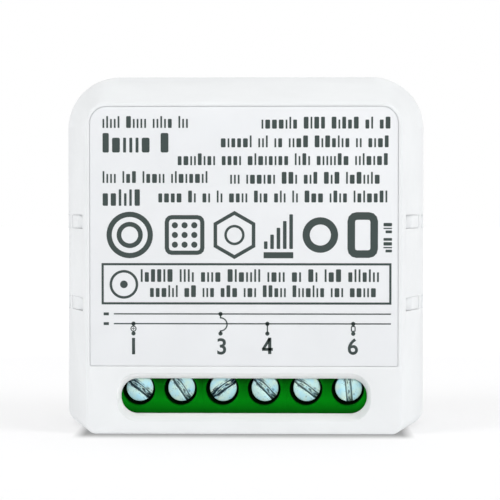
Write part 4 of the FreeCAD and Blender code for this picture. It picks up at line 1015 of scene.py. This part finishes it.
class UNIT_OT_inner(bpy.types.Operator):
    """The clamps, relay, supply, radio and boards inside the case"""
    bl_idname = "unit.inner"
    bl_label = "Inner parts"

    def execute(self, context):
        made = finishes()
        size = sizes()
        for finish, slot, nodes in INNER_NODES:
            for node in nodes:
                edge = size.sheet_edge if finish in METALS else size.part_edge
                if node.startswith("switch_"):
                    edge = size.screw_edge
                bevelled_copy(node, f"{node}_finished", made[finish], edge,
                              MOVING.get(node, "case"),
                              shape=shorten if node == "switch_plunger" else None)
        for node, finish in PLAIN_NODES:
            dress_node(node, made[finish])
        self.windings(made)
        self.cans(made)
        self.leaded(made)
        self.legs(made)
        self.solder(made)
        return {"FINISHED"}

    def windings(self, made):
        """The relay's coil and the choke's winding, turn by turn."""
        size = sizes()
        low, high = box("relay_winding")
        middle, radius = (low + high) / 2, (high.z - low.z) / 2
        narrower = 1 - size.wire_pitch / radius

        def outside(at):
            return math.hypot(at.y - middle.y, at.z - middle.z) > radius * 0.9

        bevelled_copy(
            "relay_winding", "relay_winding_core", made["copper"], 0, "case",
            shape=lambda piece: stretch(piece, outside, (1, narrower, narrower), middle))
        coil = wire_turns(0, low.x, high.x - low.x, radius, size.wire_pitch, middle)
        settle(coil, "relay_winding_turns", made["copper"], "case")
        low, high = box("filter_choke")
        turns = wire_turns(1, low.y + CHOKE_FLANGE, high.y - low.y - CHOKE_FLANGE * 2,
                           CHOKE_WAIST + size.choke_wire, size.choke_wire, (low + high) / 2)
        settle(turns, "choke_turns", made["copper"], "case")

    def cans(self, made):
        """The electrolytic capacitors: a sleeve with a bare, scored lid."""
        for name in ("mains_capacitor", "output_capacitor"):
            low, high = box(name)
            middle, lid_radius = (low + high) / 2, (high.x - low.x) / 2 - 0.8 * MM

            def lid(piece):
                pick(piece, lambda at: at.y < low.y + ON_PLANE)
                bpy.ops.mesh.select_mode(type="FACE")
                bpy.ops.mesh.inset(thickness=0.25 * MM)
                bpy.ops.mesh.extrude_region_move(TRANSFORM_OT_translate={
                    "value": (0, 0.12 * MM, 0)})
                bpy.ops.object.mode_set(mode="OBJECT")

            def sleeved(face):
                return not (face.center.y < low.y + 0.3 * MM and face.normal.y < -0.5
                            and off_axis(face.center, middle) < lid_radius)

            piece = bevelled_copy(name, f"{name}_can", made["sleeve"], sizes().can_edge, "case",
                                  shape=lid)
            bare_outside(piece, made["tin"], sleeved)

    def leaded(self, made):
        """The varistor and the fusible resistor, coated bodies on tinned leads."""
        low, high = box("varistor")
        reach = (high.z - low.z) / 2
        centre = Vector(((low.x + high.x) / 2, low.y + reach, (low.z + high.z) / 2))

        def on_disc(face):
            return math.hypot(face.center.y - centre.y, face.center.z - centre.z) < reach * 1.01

        low, high = box("fuse_resistor")
        radius, cap = (high.x - low.x) / 2, 1.7 * MM

        def on_barrel(face):
            off = math.hypot(face.center.x - low.x - radius, face.center.y - low.y - radius)
            return off > 0.35 * MM and low.z + cap < face.center.z < high.z - cap

        for node, finish, slot, coated, edge in (
                ("varistor", "dip", "varistor_blue", on_disc, 0.5 * MM),
                ("fuse_resistor", "lacquer", "fuse_grey", on_barrel, 0.2 * MM)):
            piece = bevelled_copy(node, f"{node}_finished", made[finish], edge, "case",
                                  segments=4, angle=60)
            bare_outside(piece, made["tin"], coated)

    def legs(self, made):
        """Bent legs along both sides of the two chips."""
        pieces = []
        for node, count in LEGGED_CHIPS:
            low, high = box(node)
            pitch = (high.z - low.z) / count
            pieces += [bent_leg(edge, low.y, low.z + pitch * (number + 0.5), side)
                       for side, edge in ((-1, low.x), (1, high.x)) for number in range(count)]
        settle(join(pieces), "chip_legs", made["tin"], "case")

    def solder(self, made):
        """Solder round the legs that come through the main board."""
        back = box("main_board")[1].y
        pieces = []
        for number in SCREWS:
            low, high = box(f"contact_bar_{number}")
            pieces.append(cone((low.x + high.x) / 2, back, high.z - 0.4 * MM, *BAR_CONE))
        pieces += [cone(x * MM, back, z * MM, *LEAD_CONE) for x, z in SOLDERED]
        settle(join(pieces), "solder_joints", made["tin"], "case")


def bent_leg(edge, board, z, side):
    """One leg: out of the chip, down to the board and out along it."""
    piece = started(bpy.ops.mesh.primitive_plane_add, size=MM, rotation=UPRIGHT,
                    location=(edge, board + 0.75 * MM, z))
    in_edit_mode(piece, lambda: bpy.ops.transform.resize(value=(0.14, 1, 0.36)))
    for step in ((side * 0.22, 0, 0), (side * 0.16, -0.6, 0), (side * 0.36, 0, 0)):
        last = max(point.co.x * side for point in piece.data.vertices)
        pick(piece, lambda at: at.x * side > last - 0.001 * MM)
        bpy.ops.mesh.extrude_region_move(TRANSFORM_OT_translate={
            "value": tuple(amount * MM for amount in step)})
        bpy.ops.object.mode_set(mode="OBJECT")
    bpy.ops.object.transform_apply()
    apply_modifier(piece, "SOLIDIFY", thickness=0.16 * MM, offset=0.0)
    in_edit_mode(piece, outward)
    return piece


def cone(x, back, z, foot, tip, height):
    """A solder cone behind the board, its sizes in millimetres."""
    piece = started(bpy.ops.mesh.primitive_cone_add, vertices=24, radius1=foot * MM,
                    radius2=tip * MM, depth=height * MM, rotation=(-math.radians(90), 0, 0),
                    location=(x, back + height * MM / 2, z))
    bpy.ops.object.transform_apply()
    apply_modifier(piece, "BEVEL", width=tip * 0.6 * MM, segments=3, limit_method="ANGLE",
                   angle_limit=math.radians(40))
    smooth(SMOOTH_ROUND)
    return piece


class UNIT_OT_button(bpy.types.Operator):
    """The pairing button in the back"""
    bl_idname = "unit.button"
    bl_label = "Button"

    def execute(self, context):
        white = moulded("button_moulding", looks().case, roughness=0.5, shine=0.25)
        bevelled_copy("pairing_button", "pairing_button_cap", white, sizes().part_edge,
                      "button")
        return {"FINISHED"}


# The soft lamps: name, place and width in metres, strength in watts. All aim at the unit.
LAMPS = (("key", (-1.5, -0.8, 1.1), 1.0, 15.4), ("fill", (1.5, -0.6, 1.0), 1.0, 15.7),
         ("top", (0.1, 0.2, 2.0), 1.4, 7.0), ("front", (0.2, -1.9, 0.6), 1.0, 3.1))
LAMP_AIM = Vector((0, 0, 0.02))


def towards(way):
    """The turn of a lamp or a camera that looks a given way."""
    return way.to_track_quat("-Z", "Y").to_euler()


def seen_or_mirrored(add):
    """1 for what the camera sees, straight or in a gloss, and 0 for all other light."""
    path = add("ShaderNodeLightPath").outputs
    return maths(add, "MAXIMUM", path["Is Camera Ray"], path["Is Glossy Ray"])


class UNIT_OT_stage(bpy.types.Operator):
    """The pale floor, the soft lamps and the camera"""
    bl_idname = "unit.stage"
    bl_label = "Stage"

    def execute(self, context):
        look = context.scene.stage_look
        floor = started(bpy.ops.mesh.primitive_plane_add, size=4.0, location=(0, 0, 0))
        floor.name = "studio_floor"
        dress(floor, self.floor_finish(look))
        self.surroundings(context, look)
        for name, place, width, power in LAMPS:
            lamp = bpy.data.lights.new(name, "AREA")
            lamp.shape = "DISK"
            lamp.size = width
            lamp.energy = power
            holder = bpy.data.objects.new(name, lamp)
            context.scene.collection.objects.link(holder)
            holder.location = place
            holder.rotation_euler = towards(LAMP_AIM - Vector(place))
        self.camera(context, look)
        context.scene.view_settings.view_transform = "Standard"
        return {"FINISHED"}

    def floor_finish(self, look):
        """A pale floor, white for the camera further out, which keeps the unit's shadow and has
        painted shadow on it for the camera: a soft shade round the unit and a dark strip before
        its face.
        """
        material, add, surface, place = new_material("pale_floor")
        seen = seen_or_mirrored(add)
        x, y, _ = axes(add, place)
        face = box("front_cover")[0].y
        # Painted shadow: a dark strip before the face, fading out past the unit's ends, and a
        # soft shade round the unit.
        strip = ramp(add, y, face - look.contact_depth, face, 0.0, look.contact_strength,
                     kind="SMOOTHSTEP")
        ends = ramp(add, maths(add, "ABSOLUTE", x), look.contact_reach - look.contact_fade,
                    look.contact_reach, 1.0, 0.0)
        before = maths(add, "SUBTRACT", 1.0, times(add, strip, ends))
        painted_near_shade = ramp(add, openness(add, look.contact), 0.0, 1.0, 1 - look.near_shade, 1.0)
        shade = blend(add, seen, 1.0, times(add, painted_near_shade, before))
        reach = add("ShaderNodeVectorMath", {0: place}, operation="LENGTH").outputs["Value"]
        lift = ramp(add, reach, look.shadow_reach, look.shadow_reach * 4, look.floor_glow, 1.0)
        tone = two_tone(add, seen, look.floor, look.floor_seen)
        surface({"Base Color": two_tone(add, shade, BLACK, tone), "Roughness": 0.9,
                 "Emission Color": (*WHITE, 1),
                 "Emission Strength": blend(add, seen, look.floor_bounce,
                                            times(add, lift, shade))})
        return material

    def surroundings(self, context, look):
        """Even light from all round, and a white background."""
        world = bpy.data.worlds.new("studio")
        context.scene.world = world
        world.use_nodes = True
        add, fill = node_adder(world.node_tree)
        fill(world.node_tree.nodes["Background"], {
            "Color": (*WHITE, 1),
            "Strength": ramp(add, seen_or_mirrored(add), 0.0, 1.0, look.ambient, 1.0)})

    def camera(self, context, look):
        """The photo's view, by where lines along the unit's depth meet in the image."""
        data = bpy.data.cameras.new("camera")
        data.lens = look.lens
        data.sensor_width = 36
        data.clip_start = 0.01
        camera = bpy.data.objects.new("camera", data)
        context.scene.collection.objects.link(camera)
        face = box("front_cover")[0].y
        camera.location = (look.camera_across, face - look.camera_distance, look.camera_height)
        image = data.sensor_width / data.lens
        camera.rotation_euler = towards(Vector((-look.depth_axis_across * image, 1,
                                                -look.depth_axis_up * image)))
        context.scene.camera = camera


class UNIT_PT_panel(bpy.types.Panel):
    """Lists the steps that dress the unit"""
    bl_idname = "UNIT_PT_panel"
    bl_label = "Switch control unit"
    bl_space_type = "VIEW_3D"
    bl_region_type = "UI"
    bl_category = "Unit"

    def draw(self, context):
        for step in STEPS:
            self.layout.operator(step.bl_idname)


STEPS = (UNIT_OT_case, UNIT_OT_label, UNIT_OT_print, UNIT_OT_terminals, UNIT_OT_screws,
         UNIT_OT_inner, UNIT_OT_button, UNIT_OT_stage)
CLASSES = (UnitColours, UnitSizes, StageLook, *STEPS, UNIT_PT_panel)


def register():
    for item in CLASSES:
        bpy.utils.register_class(item)
    bpy.types.Scene.unit_colours = PointerProperty(type=UnitColours)
    bpy.types.Scene.unit_sizes = PointerProperty(type=UnitSizes)
    bpy.types.Scene.stage_look = PointerProperty(type=StageLook)


def unregister():
    del bpy.types.Scene.stage_look
    del bpy.types.Scene.unit_sizes
    del bpy.types.Scene.unit_colours
    for item in reversed(CLASSES):
        bpy.utils.unregister_class(item)


def main():
    register()
    bpy.ops.unit.case()
    bpy.ops.unit.label()
    bpy.ops.unit.print()
    bpy.ops.unit.terminals()
    bpy.ops.unit.screws()
    bpy.ops.unit.inner()
    bpy.ops.unit.button()
    bpy.ops.unit.stage()


if __name__ == "__main__":
    main()
